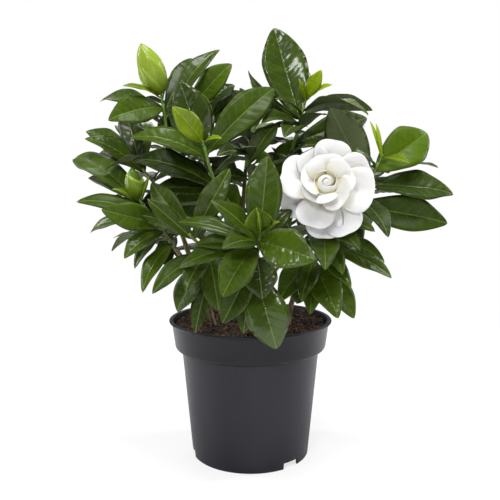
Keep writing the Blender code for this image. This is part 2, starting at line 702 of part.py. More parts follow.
def petal_blades():
    """Petals in whorls round the bloom's axis; clock angles run from its right side upwards."""
    throat, axis, across, upward = bloom_frame()
    draw = random.Random(11)
    blades = []
    for whorl, angle, reach, lift, width in PETALS:
        inward = (0.0, 0.1, 0.6, 1.0)[whorl]
        out = across * cos(radians(angle)) + upward * sin(radians(angle))
        root = throat + (out * 2.2 + axis * (whorl * 1.5 - 1.0)) * MM
        far = reach * draw.uniform(0.97, 1.03)
        tip = throat + (out * far + axis * (lift + draw.uniform(-1, 1))) * MM
        blades.append(Blade(
            root, tip, width, axis * (1 - inward) - out * inward,
            PETAL_ARCH[whorl], fold=PETAL_CUP[whorl], cup=2.0, wave=0.05,
            twist=draw.uniform(-0.15, 0.15), phase=draw.uniform(0, 6), blunt=1.0, widest=0.62))
    return blades


def plan_growth():
    """Every blade by node, each bent clear of what was placed before it."""
    growth = Growth()
    blades = {}
    for plant in PLANTS:
        for route, start, end in limb_routes(plant):
            growth.add_stem(plant, route, 0.5 * (start + end) + 0.3)
    for name in SHOOTS:
        growth.add_stem(name, shoot_route(name), SHOOT_RADIUS)
    for name in TIPS:
        growth.add_stem(name, stalk_route(name), STALK_RADIUS + 0.2)
        if TIPS[name][1]:
            foot, top = stalk_route(name)
            belly = top.lerp(vec(TIPS[name][1]), 0.45)
            growth.add_stem(name, [top, top.lerp(belly, 0.5), belly], 0.45 * TIPS[name][2])
            growth.add_stem(name, [belly, belly.lerp(vec(TIPS[name][1]), 0.6)], 0.36 * TIPS[name][2])
    throat = bloom_frame()[0]
    growth.add_stem("calyx", [shoot_route("shoot_bloom")[-1], throat], CALYX_RADIUS + 1.2)
    blades["bloom"] = petal_blades()
    for blade in blades["bloom"]:
        growth.add_blade("bloom", blade)
    draw = random.Random(7)
    for name, leaves in LEAVES.items():
        route, kept = shoot_route(name), []
        for t, tip, width, face, arch in leaves:
            blade = Blade(leaf_root(route, t, vec(tip)), vec(tip), width, face, arch,
                          twist=draw.uniform(-0.3, 0.3), phase=draw.uniform(0, 6))
            kept.append(growth.grow(name, blade))
        blades[name] = [blade for blade in kept if blade]
    for name, (shoot, bud_tip, bud_width, length, young) in TIPS.items():
        route, kept = stalk_route(name), []
        for t, tip, width, face in young:
            blade = Blade(leaf_root(route, t, vec(tip)), vec(tip), width, face, 0.08,
                          twist=draw.uniform(-0.2, 0.2), phase=draw.uniform(0, 6))
            kept.append(growth.grow(name, blade, own=False))
        blades[name] = [blade for blade in kept if blade]
    for name in SHOOTS:
        kept = [growth.grow(name, blade) for blade in whorl_blades(name, shoot_route(name), draw)]
        blades[name] = blades.get(name, []) + [blade for blade in kept if blade]
    return blades


# ---- meshes ----------------------------------------------------------------------------

def blade_object(blade, name, collection):
    """One blade as a thin four-sided solid: two edges, and the rib above and below."""
    bm = bmesh.new()
    rows = FINE_ROWS if blade.width > WIDE_LEAF * MM and not blade.blunt else PLAIN_ROWS
    steps = len(rows) - 1
    bmesh.ops.create_grid(bm, x_segments=4, y_segments=steps, size=1.0)
    for vert in bm.verts:
        column = round((vert.co.x + 1.0) * 2.0)
        t = rows[round((vert.co.y + 1.0) * 0.5 * steps)]
        across, above = ((-1, 0), (0, 1), (1, 0), (0, -1), (-1, 0))[column]
        rib = 0.5 * BLADE_THICK * MM * (1.0 if t < 1.0 or blade.blunt else 0.0)
        vert.co = blade.point(t, across) + blade.normal(t) * above * rib
    bmesh.ops.remove_doubles(bm, verts=bm.verts[:], dist=WELD * MM)
    bmesh.ops.holes_fill(bm, edges=bm.edges[:], sides=4)
    bmesh.ops.triangulate(bm, faces=bm.faces[:])
    bmesh.ops.recalc_face_normals(bm, faces=bm.faces[:])
    return add_object(name, mesh_from(bm, name), collection)


def bud_object(name, foot, tip, width, collection):
    """A furled bud: a pointed spindle with a slow twist."""
    bm = bmesh.new()
    bmesh.ops.create_uvsphere(bm, u_segments=7, v_segments=6, radius=1.0)
    length = (tip - foot).length
    turn = (tip - foot).normalized().to_track_quat("Z", "Y").to_matrix()
    for vert in bm.verts:
        t = (vert.co.z + 1.0) * 0.5
        ring = vert.co.xy
        if ring.length > 1e-6:
            ring = ring.normalized() * 0.5 * width * MM * bud_outline(t)
        ring.rotate(Matrix.Rotation(1.2 * t, 2))
        vert.co = foot + turn @ Vector((ring.x, ring.y, t * length))
    return add_object(name, mesh_from(bm, name), collection)


def bud_outline(t):
    return min(1.0, (t ** 0.55) * (1.0 - t) ** 0.75 / 0.444)


def make_pot(collection):
    inner_base = BASE_RADIUS - WALL
    floor_top = FLOOR_LIFT + FLOOR_THICK
    profile = (
        (0.0, floor_top), (inner_base + 0.2, floor_top),
        (BODY_TOP_RADIUS - WALL, BODY_TOP + 1.2), (COLLAR_FOOT_RADIUS - WALL, COLLAR_FOOT + 1.8),
        (COLLAR_TOP_RADIUS - WALL, POT_HEIGHT - LIP_THICK), (COLLAR_TOP_RADIUS - 0.6, POT_HEIGHT - 0.4),
        (COLLAR_TOP_RADIUS + 0.4, POT_HEIGHT), (LIP_RADIUS - 0.9, POT_HEIGHT),
        (LIP_RADIUS, POT_HEIGHT - 0.9), (LIP_RADIUS, POT_HEIGHT - LIP_THICK + 0.6),
        (COLLAR_TOP_RADIUS, POT_HEIGHT - LIP_THICK - 0.6),
        (COLLAR_FOOT_RADIUS + 0.1, COLLAR_FOOT + 1.6),
        (COLLAR_FOOT_RADIUS - 1.0, COLLAR_FOOT), (BODY_TOP_RADIUS + 0.5, COLLAR_FOOT - 0.6),
        (BODY_TOP_RADIUS, BODY_TOP), (BASE_RADIUS, 0.0),
        (inner_base, 0.0), (inner_base + 0.2, FLOOR_LIFT), (0.0, FLOOR_LIFT),
    )
    pot = turned("pot", profile, POT_SIDES, collection)
    cutters = new_collection("cutters")
    for turn in NOTCH_TURNS:
        bpy.ops.mesh.primitive_cube_add(size=1.0)
        notch = bpy.context.object
        notch.dimensions = (NOTCH_WIDTH * MM, 12 * MM, 2 * NOTCH_HEIGHT * MM)
        bpy.ops.object.transform_apply(location=False, rotation=False, scale=True)
        heading = Vector((sin(radians(turn)), -cos(radians(turn)), 0.0))
        notch.location = heading * (BASE_RADIUS - WALL / 2) * MM
        notch.rotation_euler = (0.0, 0.0, radians(turn))
        cut(pot, notch, cutters)
    for index in range(DRAIN_HOLES):
        turn = 2 * pi * (index + 0.13) / DRAIN_HOLES
        bpy.ops.mesh.primitive_cylinder_add(vertices=8, radius=DRAIN_RADIUS * MM, depth=20 * MM)
        hole = bpy.context.object
        hole.location = (DRAIN_RING * MM * sin(turn), DRAIN_RING * MM * cos(turn), FLOOR_LIFT * MM)
        cut(pot, hole, cutters)
    return pot


def cut(body, cutter, cutters):
    for owner in list(cutter.users_collection):
        owner.objects.unlink(cutter)
    cutters.objects.link(cutter)
    cutter.hide_render = True
    cutter.display_type = "WIRE"
    trim = body.modifiers.new("cut", "BOOLEAN")
    trim.operation = "DIFFERENCE"
    trim.object = cutter


def turned(name, profile, sides, collection):
    """A profile (radius, height) turned round Z."""
    bm = bmesh.new()
    verts = [bm.verts.new((radius * MM, 0.0, height * MM)) for radius, height in profile]
    for a, b in zip(verts, verts[1:]):
        bm.edges.new((a, b))
    made = add_object(name, mesh_from(bm, name), collection)
    spin = made.modifiers.new("turn", "SCREW")
    spin.steps = spin.render_steps = sides
    spin.use_merge_vertices = True
    spin.merge_threshold = WELD * MM
    spin.use_normal_calculate = False
    return made


def make_soil(collection):
    """Compost to the pot's inner wall, with a lumpy top and a hole for each rooted stem."""
    inner_base = BASE_RADIUS - WALL - GAP
    bottom = FLOOR_LIFT + FLOOR_THICK + GAP
    rim = COLLAR_TOP_RADIUS - WALL - GAP - 0.35
    tops = [(rim * k / SOIL_RINGS, SOIL_TOP) for k in range(SOIL_RINGS + 1)]
    profile = tops + [
        (COLLAR_FOOT_RADIUS - WALL - GAP, COLLAR_FOOT + 2.2),
        (BODY_TOP_RADIUS - WALL - GAP - 0.2, BODY_TOP + 1.6), (inner_base, bottom), (0.0, bottom),
    ]
    soil = as_mesh(turned("soil", profile, SOIL_SIDES, collection))
    draw = random.Random(5)
    for vert in soil.data.vertices:
        radius = vert.co.xy.length / MM
        if vert.co.z > (SOIL_TOP - 0.5) * MM and radius < rim - 1.0:
            vert.co.z += draw.uniform(-1.0, 1.0) * SOIL_CRUMB * MM
    cutters = bpy.data.collections["cutters"]
    for plant, (radius, limbs) in PLANTS.items():
        route = rounded(limbs[0], 2)[:4]
        ahead = (route[1] - route[0]).normalized()
        route[0] = route[0] - ahead * GAP * MM
        cut(soil, tube(plant + "_hole", route, radius + GAP, cutters), cutters)
    return soil


def make_plant_stem(plant, collection):
    limbs = limb_routes(plant)
    pieces = []
    for index, (route, start, end) in enumerate(limbs):
        pieces.append(tube(f"{plant}_{index}", route, start, collection, end))
    return union(plant, pieces[0], pieces[1:], collection)


def make_shoot(name, blades, collection):
    stem = tube(name, shoot_route(name), SHOOT_RADIUS, collection, rounding=0)
    leaves = [blade_object(blade, f"{name}_leaf{k}", collection) for k, blade in enumerate(blades)]
    return union(name, stem, leaves, collection)


def make_tip(name, blades, collection):
    route = stalk_route(name)
    stalk = tube(name, route, STALK_RADIUS, collection, rounding=0)
    pieces = [blade_object(blade, f"{name}_leaf{k}", collection) for k, blade in enumerate(blades)]
    bud_tip, bud_width = TIPS[name][1:3]
    if bud_tip:
        foot = route[1] - (route[1] - route[0]).normalized() * 2 * MM
        pieces.append(bud_object(name + "_bud", foot, vec(bud_tip), bud_width, collection))
    return union(name, stalk, pieces, collection)


def make_calyx(collection):
    """Green stalk and cup under the bloom, with narrow lobes along the petals' tube."""
    crown = shoot_route("shoot_bloom")
    straight = (crown[-1] - crown[-2]).normalized()
    foot = crown[-1] + straight * GAP * MM
    elbow = foot + straight * 0.5 * STALK_LENGTH * MM
    ahead = (bloom_frame()[0] - elbow).normalized()
    stalk_top = elbow + ahead * 0.5 * STALK_LENGTH * MM
    cup_top = stalk_top + ahead * CALYX_LENGTH * MM
    stalk = tube("calyx", [foot, elbow, stalk_top], SHOOT_RADIUS, collection)
    cup = tube("calyx_cup", [stalk_top - ahead * MM, cup_top], 1.8, collection, CALYX_RADIUS)
    lobes = []
    side = ahead.orthogonal().normalized()
    for k in range(CALYX_LOBES):
        out = Matrix.Rotation(2 * pi * k / CALYX_LOBES, 3, ahead) @ side
        root = cup_top + (out * (CALYX_RADIUS - 0.5) - ahead * 2.5) * MM
        tip = cup_top + (out * (CALYX_RADIUS + 1.6) + ahead * 6.5) * MM
        lobe = Blade(root, tip, 1.5, out, 0.0, fold=0.0, wave=0.0)
        lobes.append(blade_object(lobe, f"calyx_lobe{k}", collection))
    return union("calyx", stalk, [cup] + lobes, collection), cup_top, ahead


def make_bloom(blades, cup_top, ahead, collection):
    throat, axis = bloom_frame()[:2]
    neck = tube("bloom", [cup_top + ahead * GAP * MM, throat + axis * 1.0 * MM], TUBE_RADIUS,
                collection, TUBE_RADIUS + 1.4)
    bm = bmesh.new()
    bmesh.ops.create_icosphere(bm, subdivisions=1, radius=5.0 * MM)
    bmesh.ops.translate(bm, verts=bm.verts[:], vec=throat + axis * 3.0 * MM)
    core = add_object("bloom_core", mesh_from(bm, "bloom_core"), collection)
    petals = [blade_object(blade, f"bloom_petal{k}", collection) for k, blade in enumerate(blades)]
    return union("bloom", neck, [core] + petals, collection)


def main():
    clear_scene()
    plant = new_collection("potted_gardenia")
    plastic = material("charcoal_plastic", (0.045, 0.044, 0.05), 0.5)
    peat = material("peat", (0.035, 0.024, 0.018), 0.95)
    bark = material("bark", (0.16, 0.11, 0.07), 0.85)
    leaf = material("leaf", (0.04, 0.11, 0.025), 0.3)
    young = material("young_leaf", (0.24, 0.38, 0.05), 0.4)
    petal = material("petal", (0.86, 0.86, 0.8), 0.5)

    paint(make_pot(plant), plastic)
    paint(make_soil(plant), peat)
    blades = plan_growth()
    for name in PLANTS:
        paint(make_plant_stem(name, plant), bark)
    for name in SHOOTS:
        paint(make_shoot(name, blades[name], plant), leaf)
    for name in TIPS:
        paint(make_tip(name, blades[name], plant), young)
    calyx, cup_top, ahead = make_calyx(plant)
    paint(calyx, young)
    paint(make_bloom(blades["bloom"], cup_top, ahead, plant), petal)


main()
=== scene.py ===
"""Potted gardenia, dressed: waxy veined leaves, furled buds, a white bloom, peat and a plastic pot.

Metres, +Z up. The origin is the centre of the pot's footprint and the bloom looks along -Y.
Places in the tables below are in millimetres. The plan of stems, shoots and blades is the same
as in the solid model, and every node of that model is replaced here by one to three finer pieces.
"""
import random
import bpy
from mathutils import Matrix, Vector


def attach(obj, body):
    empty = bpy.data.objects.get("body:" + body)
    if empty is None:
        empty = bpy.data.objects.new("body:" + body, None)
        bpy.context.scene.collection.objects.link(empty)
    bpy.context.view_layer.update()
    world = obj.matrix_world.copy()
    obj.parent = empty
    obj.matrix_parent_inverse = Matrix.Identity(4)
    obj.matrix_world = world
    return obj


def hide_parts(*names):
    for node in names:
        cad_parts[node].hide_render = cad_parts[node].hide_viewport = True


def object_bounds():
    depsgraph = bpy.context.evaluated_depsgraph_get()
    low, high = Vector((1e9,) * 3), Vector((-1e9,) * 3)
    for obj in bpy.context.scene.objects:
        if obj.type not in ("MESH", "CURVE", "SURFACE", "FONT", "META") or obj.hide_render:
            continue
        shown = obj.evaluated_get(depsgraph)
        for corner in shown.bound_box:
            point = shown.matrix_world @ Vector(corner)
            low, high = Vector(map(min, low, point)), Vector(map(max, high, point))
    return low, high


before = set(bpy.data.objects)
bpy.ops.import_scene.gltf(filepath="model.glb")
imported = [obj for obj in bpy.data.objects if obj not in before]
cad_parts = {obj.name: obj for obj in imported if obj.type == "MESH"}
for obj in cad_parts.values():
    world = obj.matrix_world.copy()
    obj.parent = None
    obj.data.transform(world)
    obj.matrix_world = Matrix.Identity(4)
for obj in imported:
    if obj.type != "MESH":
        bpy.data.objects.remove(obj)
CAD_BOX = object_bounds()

from copy import copy
from math import copysign, cos, exp, pi, radians, sin, sqrt, tau

import bmesh
import bpy
from mathutils import Matrix, Vector, noise
from mathutils.bvhtree import BVHTree

MM = 0.001
GAP = 0.3               # clearance between separate pieces that touch
PETAL_SEED = 11         # the seeds of chance, kept so that the plant always grows the same
PLAN_SEED = 7
DETAIL_SEED = 23

# ---- pot, mm ----------------------------------------------------------------
POT_HEIGHT = 110.0
LIP_RADIUS = 65.0
LIP_THICK = 2.6
COLLAR_TOP_RADIUS = 62.0
COLLAR_FOOT_RADIUS = 60.4
COLLAR_FOOT = 87.0      # height of the collar's lower edge
BODY_TOP_RADIUS = 54.8
BODY_TOP = 84.5
BASE_RADIUS = 47.0
WALL = 1.6
FLOOR_LIFT = 6.0        # the floor plate stands this far above the bottom edge
FLOOR_THICK = 1.8
NOTCH_WIDTH = 15.0
NOTCH_HEIGHT = 5.0
NOTCH_TURNS = (42.0, 162.0, 282.0)   # degrees round from the front, towards +X
DRAIN_HOLES = 5
DRAIN_RADIUS = 4.0
DRAIN_RING = 30.0

# ---- soil, mm ---------------------------------------------------------------
SOIL_TOP = 105.0
ROOT_DEPTH = 50.0       # height at which the cuttings' stems end in the soil

# ---- blades, mm -------------------------------------------------------------
BLADE_THICK = 1.2       # along the rib, thinning to the edges
ROOT_WIDTH = 1.8
CLEARANCE = 0.45        # a leaf keeps this far from what it passes
RIM_CLEARANCE = 1.5     # and this far from the pot's lip
SHOOT_RADIUS = 1.3
STALK_RADIUS = 0.95     # of a tip's or a bud's own stalk
LIMB_END_RADIUS = 1.5   # a woody limb thins to this where its shoot goes on
SIDE_LIMB = 0.75        # a side limb's thickness beside its trunk's
SHOOT_FOOT = 1.5        # a shoot runs on straight from its limb for this long
LEAF_OFFSET = 0.5       # a leaf springs this far off its stem's middle
SPREAD_BACK = 118.0     # no leaf reaches further back than the front ones reach forward
WHORL_SIZE = 3          # gardenia leaves stand in threes
WHORL_STEP = 60         # degrees from one whorl to the next
LOWEST_RISE = -12       # degrees above level of a leaf at a shoot's foot
CROWN_RISE = 46         # degrees more than that at its crown
FRONT_SHARE = 0.35      # cosine from the front within which an open-fronted whorl has no leaf
YOUNG_ARCH = 0.08       # arch of a young leaf, as a share of its length
# what a leaf by rule varies by: degrees round and up, length, width as a share of that, arch, twist
SWAY, NOD = 14, 10
LENGTHS = (0.86, 1.08)
WIDTHS = (0.44, 0.53)
ARCHES = (0.08, 0.16)
TWISTS = (-0.35, 0.35)
CROWN_SHORT = 0.35      # how much shorter the leaves of the crown are
BUD_ROOM = (0.45, 0.36)     # radius kept clear round a bud below and above, as shares of its width

# ---- where a leaf's upper face looks ----------------------------------------
UP = (0, 0, 1)
FRONT = (0, -1, 0.25)
UP_FRONT = (0, -1, 1)
UP_BACK = (0, 1, 1)
BACK = (0, 1, 0.3)
LEFT = (-1, -0.2, 0.3)
RIGHT = (1, -0.2, 0.3)

# ---- woody stems, mm --------------------------------------------------------
# radius, then limbs; the first limb is the rooted trunk, the others spring from it
PLANTS = {
    "stem_left": (2.6, (
        ((-26, -8, ROOT_DEPTH), (-29, -11, 106), (-42, -16, 148), (-55, -12, 186), (-60, -12, 224)),
        ((-42, -16, 148), (-50, -26, 160), (-57, -34, 172)),
        ((-55, -12, 186), (-64, -2, 196), (-70, 7, 206)),
        ((-42, -16, 148), (-52, -2, 154), (-60, 10, 160)),
    )),
    "stem_centre": (2.8, (
        ((2, 8, ROOT_DEPTH), (-1, 8, 106), (-4, 6, 160), (-6, 6, 192), (-4, 20, 228)),
        ((-6, 6, 190), (-14, -10, 200), (-20, -22, 208)),
        ((-4, 6, 165), (-20, 4, 192), (-28, 2, 216)),
        ((-4, 6, 160), (8, 4, 186), (18, 1, 207)),
        ((-4, 6, 160), (0, -12, 184), (0, -24, 204)),
        ((-3, 7, 140), (-10, 14, 158), (-16, 18, 174)),
        ((-2, 7, 132), (8, 8, 148), (14, 10, 162)),
    )),
    "stem_front": (2.4, (
        ((-4, -28, ROOT_DEPTH), (-5, -31, 106), (-6, -42, 130), (-2, -58, 146), (1, -66, 156)),
        ((-6, -41, 128), (-16, -50, 146), (-24, -57, 160)),
    )),
    "stem_right": (2.6, (
        ((28, -2, ROOT_DEPTH), (30, -4, 106), (38, -10, 140), (54, -16, 166), (68, -21, 186)),
        ((37, -9, 136), (41, -20, 144), (44, -28, 152)),
        ((54, -16, 166), (58, 4, 176), (62, 18, 184)),
    )),
    "stem_back": (2.7, (
        ((4, 34, ROOT_DEPTH), (4, 37, 106), (2, 44, 150), (2, 48, 180), (1, 54, 210)),
        ((2, 43, 145), (-14, 42, 168), (-30, 44, 190)),
        ((2, 46, 165), (18, 44, 184), (32, 42, 200)),
        ((4, 38, 116), (-8, 50, 130), (-20, 58, 140)),
        ((4, 39, 122), (16, 50, 134), (26, 57, 144)),
    )),
}

# ---- leafy shoots, mm -------------------------------------------------------
# the plant and limb that carries it, its crown, and the whorls of further leaves that
# it has by rule: heights along the shoot, leaf length, first direction, and whether the
# whorls leave the front to the leaves listed one by one
SHOOTS = {
    "shoot_top_left": ("stem_left", 0, (-66, -17, 278), (0.12, 0.4, 0.68), 52, 150, True),
    "shoot_left": ("stem_left", 1, (-78, -41, 203), (0.3, 0.7), 44, 170, True),
    "shoot_left_rear": ("stem_left", 2, (-92, 22, 233), (0.15, 0.5), 50, 150, True),
    "shoot_left_low": ("stem_left", 3, (-86, 28, 178), (0.15, 0.5, 0.85), 46, 95, False),
    "shoot_centre": ("stem_centre", 0, (8, 32, 282), (0.15, 0.45, 0.72, 0.95), 54, 30, False),
    "shoot_left_centre": ("stem_centre", 1, (-33, -46, 245), (0.1, 0.5), 50, 180, True),
    "shoot_top_centre": ("stem_centre", 2, (-50, 0, 286), (0.12, 0.38, 0.65), 54, 140, True),
    "shoot_top_right": ("stem_centre", 3, (41, -11, 277), (0.12, 0.38, 0.62), 54, 120, True),
    "shoot_centre_front": ("stem_centre", 4, (-2, -42, 240), (0.2, 0.5), 46, 160, True),
    "shoot_core_left": ("stem_centre", 5, (-26, 16, 226), (0.15, 0.45, 0.75, 0.95), 46, 40, False),
    "shoot_core_right": ("stem_centre", 6, (22, 12, 216), (0.15, 0.45, 0.75, 0.95), 46, 75, False),
    "shoot_front": ("stem_front", 0, (6, -92, 184), (0.2,), 40, 180, True),
    "shoot_front_left": ("stem_front", 1, (-42, -75, 185), (0.25,), 40, 180, True),
    "shoot_right": ("stem_right", 0, (94, -35, 234), (0.15, 0.4, 0.7), 50, 140, True),
    "shoot_bloom": ("stem_right", 1, (54, -50, 200), (0.2, 0.6), 44, 150, True),
    "shoot_right_rear": ("stem_right", 2, (98, 36, 212), (0.2, 0.6, 0.92), 54, 20, False),
    "shoot_rear_top": ("stem_back", 0, (-4, 84, 262), (0.2, 0.55, 0.88), 60, 15, False),
    "shoot_rear_left": ("stem_back", 1, (-58, 72, 238), (0.2, 0.55, 0.88), 60, 50, False),
    "shoot_rear_right": ("stem_back", 2, (62, 66, 250), (0.2, 0.55, 0.88), 60, 70, False),
    "shoot_rear_low_left": ("stem_back", 3, (-46, 86, 172), (0.25, 0.6, 0.92), 52, 10, False),
    "shoot_rear_low_right": ("stem_back", 4, (50, 88, 170), (0.25, 0.6, 0.92), 52, 40, False),
}

# ---- leaves listed one by one: height on the shoot, tip, width, face, arch -----
LEAVES = {
    "shoot_rear_top": (
        (0.60, (6, 120, 240), 24, UP_BACK, 0.10),
    ),
    "shoot_top_left": (
        (0.94, (-100, -50, 267), 26, FRONT, 0.10),
        (0.88, (-121, 15, 284), 19, UP_FRONT, 0.10),
        (0.80, (-83, -36, 266), 14, UP_FRONT, 0.06),
        (0.78, (-24, 5, 322), 18, UP_FRONT, 0.10),
        (0.76, (-47, 20, 318), 20, FRONT, 0.06),
        (0.35, (-61, 2, 275), 22, FRONT, 0.05),
    ),
    "shoot_left_centre": (
        (0.80, (-50, -44, 290), 35, FRONT, -0.05),
        (0.88, (18, -22, 289), 28, FRONT, 0.12),
        (0.80, (-85, -46, 252), 22, UP_FRONT, 0.12),
        (0.25, (-88, -30, 236), 27, UP_FRONT, 0.12),
        (0.12, (-75, -32, 212), 20, UP_FRONT, 0.10),
    ),
    "shoot_centre_front": (
        (0.90, (-26, -64, 238), 17, UP_FRONT, 0.16),
        (0.86, (6, -70, 243), 17, UP_FRONT, 0.14),
        (0.80, (20, -32, 262), 18, UP_FRONT, 0.10),
        (0.60, (14, -60, 236), 18, UP_FRONT, 0.12),
        (0.45, (-24, -52, 222), 19, UP_FRONT, 0.12),
    ),
    "shoot_top_centre": (
        (0.85, (-21, -6, 314), 23, FRONT, 0.08),
        (0.70, (-13, 20, 297), 21, UP_FRONT, 0.10),
        (0.50, (-31, -27, 262), 26, UP_FRONT, 0.10),
        (0.62, (-7, 18, 298), 20, FRONT, 0.06),
    ),
    "shoot_top_right": (
        (0.86, (18, -2, 336), 39, FRONT, -0.04),
        (0.93, (83, -50, 267), 24, UP, 0.14),
        (0.88, (98, 20, 277), 22, UP_BACK, 0.15),
        (0.90, (18, -40, 279), 12, UP_FRONT, 0.08),
        (0.80, (8, -42, 262), 17, UP_FRONT, 0.12),
        (0.72, (24, -52, 255), 18, UP_FRONT, 0.12),
        (0.70, (55, -42, 268), 17, UP, 0.10),
        (0.85, (-3, 15, 307), 9, LEFT, 0.10),
        (0.78, (-14, 14, 298), 15, UP_FRONT, 0.10),
        (0.42, (49, -38, 247), 18, UP_FRONT, 0.10),
        (0.35, (26, -34, 244), 19, UP_FRONT, 0.10),
        (0.60, (94, 15, 270), 24, FRONT, 0.06),
        (0.15, (31, 5, 254), 26, FRONT, 0.05),
    ),
    "shoot_right": (
        (0.86, (134, -30, 256), 35, FRONT, 0.08),
        (0.88, (149, 5, 232), 13, UP, 0.04),
        (0.90, (70, -56, 241), 13, UP_FRONT, 0.12),
        (0.72, (58, -34, 273), 33, BACK, 0.06),
        (0.66, (149, -38, 212), 31, UP_FRONT, 0.03),
        (0.34, (142, -48, 190), 30, FRONT, 0.04),
        (0.40, (94, -75, 184), 20, UP_FRONT, 0.12),
    ),
    "shoot_left": (
        (0.92, (-148.5, 34, 241), 26, UP_FRONT, 0.08),
        (0.86, (-137, 6, 223), 16, UP_FRONT, 0.10),
        (0.66, (-120, -58, 213), 17, UP_FRONT, 0.12),
        (0.50, (-102, -68, 201), 22, FRONT, 0.12),
        (0.62, (-124, -18, 181), 15, UP_FRONT, 0.12),
        (0.36, (-89, -72, 183), 18, UP_FRONT, 0.12),
        (0.18, (-109, -8, 166), 19, UP, 0.12),
        (0.16, (-82, -72, 172), 14, UP, 0.16),
        (0.06, (-76, -80, 154), 15, UP_FRONT, 0.14),
        (0.48, (-52, -62, 194), 20, UP_FRONT, 0.12),
        (0.30, (-75, -15, 215), 24, FRONT, 0.05),
    ),
    "shoot_front_left": (
        (0.84, (-68, -84, 209), 14, FRONT, 0.04),
        (0.80, (-77, -58, 197), 17, UP_FRONT, 0.10),
        (0.86, (-71, -48, 219), 18, FRONT, 0.10),
        (0.84, (-14, -77, 229), 19, FRONT, 0.10),
        (0.35, (-67, -80, 145), 17, UP_FRONT, 0.14),
        (0.34, (-22, -68, 130), 20, UP_FRONT, 0.14),
        (0.30, (-43, -90, 148), 17, UP_FRONT, 0.16),
        (0.14, (-52, -63, 128), 22, UP_FRONT, 0.14),
        (0.06, (-41, -66, 114), 15, UP_FRONT, 0.10),
    ),
    "shoot_front": (
        (0.80, (11, -90, 237), 27, FRONT, -0.03),
        (0.80, (-25, -98, 209), 17, UP_FRONT, 0.10),
        (0.76, (-49, -77, 194), 13, UP_FRONT, 0.12),
        (0.86, (-17, -112, 186), 19, UP_FRONT, 0.12),
        (0.66, (-37, -84, 179), 15, UP_FRONT, 0.12),
        (0.58, (-48, -87, 163), 18, UP_FRONT, 0.16),
        (0.72, (-18, -107, 148), 27, UP_FRONT, 0.16),
        (0.86, (40, -116, 173), 30, FRONT, 0.12),
        (0.74, (28, -74, 202), 15, UP_FRONT, 0.10),
        (0.30, (-19, -84, 125), 21, FRONT, 0.14),
        (0.45, (8, -94, 144), 26, UP_FRONT, 0.12),
        (0.08, (18, -80, 106), 33, FRONT, 0.14),
        (0.06, (-5, -70, 114), 15, UP_FRONT, 0.10),
    ),
    "shoot_bloom": (
        (0.66, (49, -95, 164), 23, UP_FRONT, 0.12),
        (0.74, (72, -80, 168), 18, UP_FRONT, 0.12),
        (0.52, (63, -77, 158), 17, UP_FRONT, 0.12),
        (0.84, (87, -70, 182), 17, UP_FRONT, 0.10),
        (0.60, (95, -60, 164), 18, UP_FRONT, 0.12),
        (0.46, (104, -44, 150), 19, UP_FRONT, 0.12),
        (0.34, (70, -70, 148), 15, UP_FRONT, 0.12),
        (0.30, (20, -62, 136), 22, UP_FRONT, 0.12),
        (0.12, (42, -67, 128), 20, UP_FRONT, 0.12),
        (0.16, (59, -73, 122), 25, FRONT, 0.12),
        (0.08, (76, -50, 121), 23, UP_FRONT, 0.12),
        (0.24, (35, -78, 139), 17, UP_FRONT, 0.12),
        (0.05, (34, -46, 131), 22, FRONT, 0.08),
    ),
    "shoot_core_left": (
        (0.55, (-66, 6, 200), 26, FRONT, 0.05),
        (0.45, (-3, 2, 210), 28, FRONT, 0.05),
        (0.80, (-16, 6, 240), 26, FRONT, 0.05),
    ),
    "shoot_core_right": (
        (0.70, (14, 2, 234), 26, FRONT, 0.05),
    ),
    "shoot_left_low": (
        (0.10, (-76, -4, 163), 26, FRONT, 0.05),
        (0.55, (-88, 14, 196), 24, FRONT, 0.05),
    ),
    "shoot_left_rear": (
        (0.90, (-140, 48, 262), 22, UP_FRONT, 0.10),
        (0.80, (-131, 8, 254), 20, UP_FRONT, 0.10),
        (0.70, (-131, 54, 245), 22, UP_FRONT, 0.10),
        (0.76, (-131, 78, 260), 22, UP, 0.10),
        (0.88, (-112, 62, 271), 22, UP_FRONT, 0.10),
        (0.86, (-88, 54, 276), 17, FRONT, 0.10),
    ),
}

